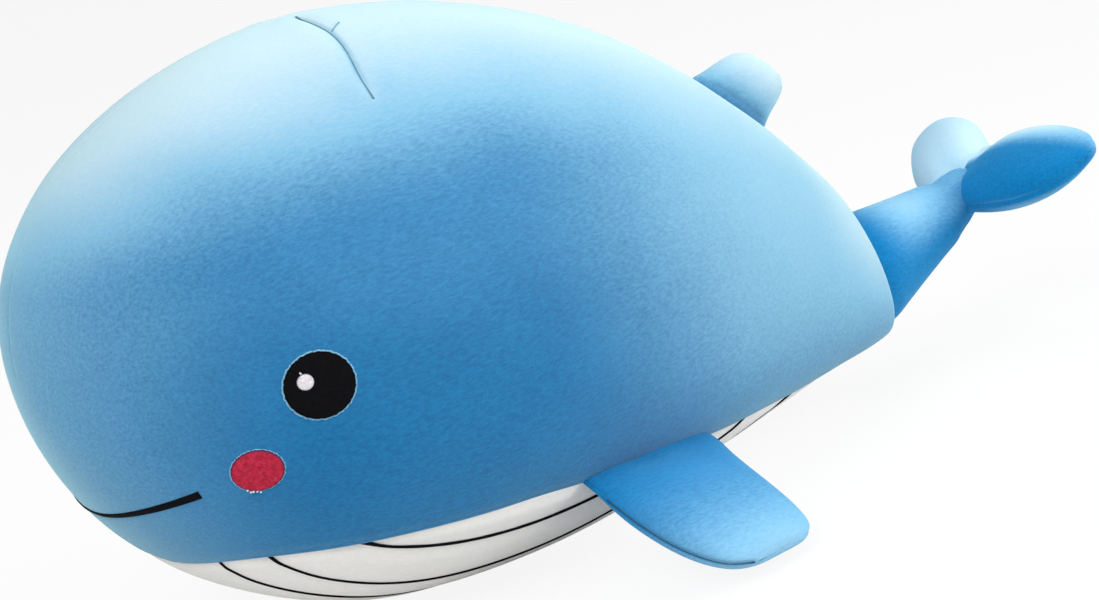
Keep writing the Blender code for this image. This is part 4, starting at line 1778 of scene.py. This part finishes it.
    def build(self, wardrobe: Wardrobe) -> bpy.types.Object:
        """Makes the limb, and the thread in its seam where it has one.

        Args:
            wardrobe: The finishes.

        Returns:
            The limb.
        """
        piece = ball(self.name + "_cover", self.segments, self.rings, self.shape)
        spots = places(piece)
        reach = np.clip((spots[:, 1] + self.inset) / self.reach, 0, 1)
        lead, trail = self.outline(reach)
        chord = (spots[:, 0] - lead[:, 0]) / (trail[:, 0] - lead[:, 0])
        # Painted light on the trailing part of the limb, less of it towards the tip.
        fading = 1 - self.trailing_fade * reach
        trailing = self.raised_trailing * smooth(*self.trailing_span, chord) * fading
        world = self.frame()
        piece.data.transform(world)
        outwards(piece)
        # Painted sheen where the limb faces down, and painted light along the reach.
        facing_down = smooth(*self.under_span, -upward(piece))
        under = self.raised_under * facing_down * smooth(*self.under_reach, reach)
        mark_raised(piece, bernstein(self.raised_shares, reach) + trailing + under)
        wardrobe.dress(piece, self.finish)
        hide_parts(*self.nodes)
        parts = [piece]
        if self.threaded:
            thread = self.seam_thread()
            thread.data.transform(world)
            parts.append(wardrobe.dress(thread, "limb_seam_thread"))
        for part in parts:
            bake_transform(part)
        LOG.info("limb %s", piece.name)
        return piece


@dataclass
class Tail:
    """The tail stock, drawn in at the pinch, and the knot of cloth behind it that the flukes grow from."""

    pitch: float = math.radians(13.3)
    fluke_pitch: float = math.radians(24)
    ball: float = 0.0279
    ball_end: float = math.radians(76)
    root_depth: float = 0.022
    length: float = 0.0615
    waist: float = 0.0155
    pinch: float = 0.0143
    pinch_width: float = 0.0050
    # Painted light on the top of the stock; painted shade at the knot behind the pinch and where the stock
    # leaves the body.
    raised_up: float = 0.52
    deepened_knot: float = 0.55
    knot_span: tuple[float, float] = (0.030, 0.005)
    clear_span: tuple[float, float] = (0.004, 0.034)
    bend_span: tuple[float, float] = (-0.010, 0.016)
    knot_length: float = 0.024
    knot_radius: float = 0.0126
    knot_power: float = 2.2
    knot_blend: tuple[float, float] = (0.006, 0.010)
    neck_length: float = 0.004
    seam_depth: float = 0.0008
    seam_width: float = 0.0014
    fold_depth: float = 0.0003
    fold_width: float = 0.012
    fold_count: int = 7
    relief_radii: tuple[float, float] = (0.004, 0.010)

    def axes(self) -> Matrix:
        """The tail's own axes: Z along it, X up.

        Returns:
            The move from the tail's own axes to the world.
        """
        axis = Vector((math.cos(self.pitch), 0, math.sin(self.pitch)))
        up = Vector((-math.sin(self.pitch), 0, math.cos(self.pitch)))
        turn = Matrix((up, axis.cross(up), axis)).transposed().to_4x4()
        return joint_place("tail_lift") @ turn

    def radius(self, depth: Points) -> Points:
        """The stock's radius at each distance from the joint.

        Args:
            depth: Distances from the joint along the tail.

        Returns:
            The radii.
        """
        root = np.sqrt(np.maximum(0, self.ball**2 - np.minimum(depth, 0) ** 2))
        begin = self.ball * math.cos(self.ball_end)
        neck = self.length - self.neck_length
        wide = self.ball * math.sin(self.ball_end)
        bend = wide - math.cos(self.ball_end) / math.sin(self.ball_end) * (neck - begin) / 2
        share = np.clip((depth - begin) / (neck - begin), 0, 1)
        cone = np.sqrt(np.maximum(0, self.ball**2 - np.clip(depth, 0, begin) ** 2))
        stock = np.where(depth < begin, cone, bernstein((wide, bend, self.waist), share))
        after = np.clip((depth - self.length) / self.knot_length, 0, 1)
        knot = self.knot_radius * np.sqrt(np.maximum(0, 1 - after**self.knot_power))
        near, far = self.knot_blend
        blend = smooth(self.length - near, self.length + far, depth)
        body = np.where(depth < 0, root, stock) * (1 - blend) + knot * blend
        return body - (self.waist - self.pinch) * bump(depth - self.length, self.pinch_width)

    def shape(self, sphere: Points) -> Points:
        """Turns the unit sphere into the tail.

        Args:
            sphere: Points of the unit sphere.

        Returns:
            Points of the tail, in its own axes.
        """
        share = np.arccos(np.clip(-sphere[:, 2], -1, 1)) / np.pi
        angle = np.arctan2(sphere[:, 1], sphere[:, 0])
        total = self.root_depth + self.length + self.knot_length
        depth = -self.root_depth + total * (0.5 * share + 0.25 * (1 - np.cos(np.pi * share)))
        radius = self.radius(depth) * smooth(-0.02, 0.04, share)
        seam = self.seam_depth * bump(np.sin(angle) * radius, self.seam_width)
        waves = np.cos(angle * self.fold_count + 1.0 + np.sin(angle * 2))
        folds = waves * bump(depth - self.length, self.fold_width) * self.fold_depth
        radius = np.maximum(radius + (folds - seam) * smooth(*self.relief_radii, radius), 0)
        radius = np.where((share < 0.002) | (share > 0.998), 0, radius)
        bend = np.maximum(depth - self.length, 0) * math.tan(self.fluke_pitch - self.pitch)
        return np.stack([radius * np.cos(angle) + bend, radius * np.sin(angle), depth], -1)

    def build(self, wardrobe: Wardrobe) -> bpy.types.Object:
        """Makes the tail.

        Args:
            wardrobe: The finishes.

        Returns:
            The tail.
        """
        piece = ball("tail_cover", 128, 130, self.shape)
        depth = places(piece)[:, 2]
        # Painted shade at the knot behind the pinch and where the stock leaves the body; painted light where
        # the stock faces up.
        near, far = self.knot_span
        knot = 1 - self.deepened_knot * smooth(self.length - near, self.length + far, depth)
        clear = smooth(*self.clear_span, depth)
        world = self.axes()
        piece.data.transform(world)
        outwards(piece)
        mark_raised(piece, self.raised_up * smooth(-0.2, 1.0, upward(piece)) * clear * knot)
        wardrobe.dress(piece, "light_blue_pile_cloth")
        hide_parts("tail_panel_left", "tail_panel_right", "tail_filling")
        start, end = (world @ Vector((0, 0, depth)) for depth in self.bend_span)
        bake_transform(piece)
        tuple(start)
        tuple(end)
        LOG.info("tail %s", piece.name)
        return piece


def build_limbs(wardrobe: Wardrobe) -> None:
    """Makes the fins, the flukes and the dorsal fin.

    Args:
        wardrobe: The finishes.
    """
    fluke_leading_shares = {
        Side.LEFT: ((0.0, 0.0), (0.20, 0.30), (0.02, 0.82), (1.02, 0.94)),
        Side.RIGHT: ((0.0, 0.0), (0.12, 0.42), (0.60, 0.68), (1.12, 0.95)),
    }
    fluke_trailing_shares = {
        Side.LEFT: ((1.15, 0.0), (1.55, 0.20), (1.80, 0.58), (1.38, 0.94)),
        Side.RIGHT: ((1.0, 0.0), (1.38, 0.20), (1.95, 0.60), (1.62, 0.97)),
    }
    for side in Side:
        sign = side.value
        fin, fluke = f"fin_{side.word}", f"fluke_{side.word}"
        Limb(
            name=fin,
            parent="body",
            joint=f"{fin}_flap",
            finish="light_blue_pile_cloth",
            along=(0.969862, -sign * 0.225517, -0.092247),
            outward=(0.17342, sign * 0.90485, -0.38881),
            root=0.0777,
            reach=0.077,
            half_thickness=0.0092,
            inset=0.003,
            leading_shares=((0.0, 0.0), (-0.05, 0.30), (-0.17, 0.85), (0.14, 1.0)),
            trailing_shares=((1.0, 0.0), (0.76, 0.35), (0.83, 0.85), (0.63, 1.0)),
            thickness_shares=(1.0, 1.3, 1.1, 0.8),
            tip_pinch=0.5,
            # Painted light: the fin is deep at the root, in the body's shade, and paler towards the lit tip.
            raised_shares=(0.0, 0.0, 0.12, 0.50),
            nodes=tuple(f"{fin}_{part}" for part in ("upper_panel", "lower_panel", "filling")),
        ).build(wardrobe)
        Limb(
            name=fluke,
            parent="tail",
            joint=f"{fluke}_flap",
            finish="light_blue_pile_cloth",
            along=(0.913545, 0.0, 0.406737),
            outward=(0.0, sign, 0.0),
            root=0.037,
            reach=0.0665,
            half_thickness=0.0098,
            inset=0.0035,
            leading_shares=fluke_leading_shares[side],
            trailing_shares=fluke_trailing_shares[side],
            thickness_shares=(1.45, 1.5, 1.25, 0.8),
            # Painted light: the right fluke is painted pale all over, the left one paler on its trailing
            # part, and both get painted sheen where they face down.
            raised_shares=(0.0, 0.0, 0.0, 0.0) if side is Side.LEFT else (0.70, 0.90, 0.85, 0.75),
            raised_trailing=1.9 if side is Side.LEFT else 0.3,
            raised_under=0.30,
            seam_depth=0.0008,
            threaded=False,
            nodes=tuple(f"{fluke}_{part}" for part in ("upper_panel", "lower_panel", "filling")),
            sink=0.013,
        ).build(wardrobe)
    Limb(
        name="dorsal_fin",
        parent="body",
        joint="dorsal_fin_flop",
        finish="blue_pile_cloth",
        along=(0.701948, 0.0, -0.712228),
        outward=(0.71223, 0.0, 0.70195),
        root=0.0569,
        reach=0.0285,
        half_thickness=0.0088,
        inset=0.005,
        leading_shares=((0.06, 0.0), (0.29, 0.43), (0.25, 0.90), (0.54, 0.96)),
        trailing_shares=((0.91, 0.0), (0.78, 0.33), (1.00, 0.82), (0.75, 0.96)),
        threaded=False,
        thickness_shares=(1.6, 1.35, 0.9, 0.6),
        # Painted light: the dorsal fin is deep at the root and painted pale over its upper part, where the
        # top light falls.
        raised_shares=(0.10, 0.50, 1.0, 1.0),
        nodes=("dorsal_fin_left_panel", "dorsal_fin_right_panel", "dorsal_fin_filling"),
        sink=0.009,
    ).build(wardrobe)


@dataclass
class Studio:
    """The camera, the floor and the light."""

    azimuth: float = math.radians(28.9)
    elevation: float = math.radians(13.0)
    roll: float = math.radians(13.3)
    distance: float = 1.100
    lens: float = 83.03
    target: tuple[float, float, float] = (0.0653, 0.0, 0.0928)
    floor_size: float = 60.0
    floor_drop: float = 0.0005
    floor_paint: tuple[float, float, float, float] = (0.78, 0.78, 0.78, 1.0)
    floor_glow_share: float = 0.90
    world_strength: float = 0.29
    aim: tuple[float, float, float] = (0.03, 0.0, 0.12)
    lamp_size: float = 1.2
    lamps: tuple[tuple[str, tuple[float, float, float], float], ...] = (
        ("front_light", (-1.0, -0.6, 1.3), 21.0),
        ("side_light", (1.4, -1.0, 0.8), 25.0),
        ("top_light", (0.4, 0.05, 1.4), 7.0),
    )

    def camera(self) -> None:
        """Sets the camera at the photograph's angle."""
        a, e = self.azimuth, self.elevation
        toward = Vector((-math.sin(a) * math.cos(e), -math.cos(a) * math.cos(e), math.sin(e)))
        right = Vector((math.cos(a), -math.sin(a), 0))
        up = toward.cross(right)
        turned_right = right * math.cos(self.roll) - up * math.sin(self.roll)
        turned_up = right * math.sin(self.roll) + up * math.cos(self.roll)
        deselect()
        bpy.ops.object.camera_add()
        made = bpy.context.active_object
        made.name = "studio_camera"
        place = Matrix((turned_right, turned_up, toward)).transposed().to_4x4()
        made.matrix_world = Matrix.Translation(Vector(self.target) + toward * self.distance) @ place
        made.data.lens = self.lens
        made.data.sensor_width = 36.0
        made.data.clip_start, made.data.clip_end = 0.01, 50.0
        bpy.context.scene.camera = made

    def lamp(self, name: str, place: Vector, watts: float) -> None:
        """Adds a soft area lamp that faces the whale.

        Args:
            name: The lamp's name.
            place: Where it stands.
            watts: Its power.
        """
        deselect()
        bpy.ops.object.light_add(type="AREA", location=place)
        made = bpy.context.active_object
        made.name = name
        made.data.shape = "DISK"
        made.data.size = self.lamp_size
        made.data.energy = watts
        made.rotation_mode = "QUATERNION"
        made.rotation_quaternion = (Vector(self.aim) - place).to_track_quat("-Z", "Y")

    def floor(self) -> None:
        """A wide pale floor that keeps the whale's shadow."""
        deselect()
        bpy.ops.mesh.primitive_plane_add(size=self.floor_size, location=(0, 0, -self.floor_drop))
        made = bpy.context.active_object
        made.name = made.data.name = "studio_floor"
        paint = bpy.data.materials.new("pale_floor")
        paint.use_nodes = True
        nodes = Nodes(paint.node_tree)
        shader = paint.node_tree.nodes["Principled BSDF"]
        shader.inputs["Base Color"].default_value = self.floor_paint
        shader.inputs["Roughness"].default_value = 0.9
        glow = nodes.add("Emission", {"Color": WHITE, "Strength": 1.0})
        seen = nodes.add("LightPath").outputs["Is Camera Ray"]
        share = nodes.math("MULTIPLY", seen, self.floor_glow_share)
        nodes.surface("Material Output", share, shader, glow)
        made.data.materials.append(paint)

    def world(self) -> None:
        """A pale world that shows white to the camera."""
        made = bpy.data.worlds.new("studio_world")
        bpy.context.scene.world = made
        made.use_nodes = True
        nodes = Nodes(made.node_tree)
        back = made.node_tree.nodes["Background"]
        back.inputs["Color"].default_value = WHITE
        back.inputs["Strength"].default_value = self.world_strength
        white = nodes.add("Background", {"Color": WHITE, "Strength": 1.0})
        path = nodes.add("LightPath").outputs
        seen = nodes.math("MAXIMUM", path["Is Camera Ray"], path["Is Transmission Ray"])
        nodes.surface("World Output", seen, back, white)

    def build(self) -> None:
        """Sets up everything that isn't the whale."""
        self.camera()
        self.floor()
        self.world()
        for name, place, watts in self.lamps:
            self.lamp(name, Vector(place), watts)
        bpy.context.scene.view_settings.view_transform = "Standard"


def main() -> None:
    """Builds the dressed whale and the studio."""
    logging.basicConfig(level=logging.INFO)
    wardrobe = Wardrobe()
    cover = BodyCover()
    cover.build(wardrobe)
    LOG.info("body cover made")
    BellyCover().build(wardrobe)
    LOG.info("belly made")
    Face().build(cover, wardrobe)
    LOG.info("face made")
    build_limbs(wardrobe)
    Tail().build(wardrobe)
    Studio().build()


if __name__ == "__main__":
    main()
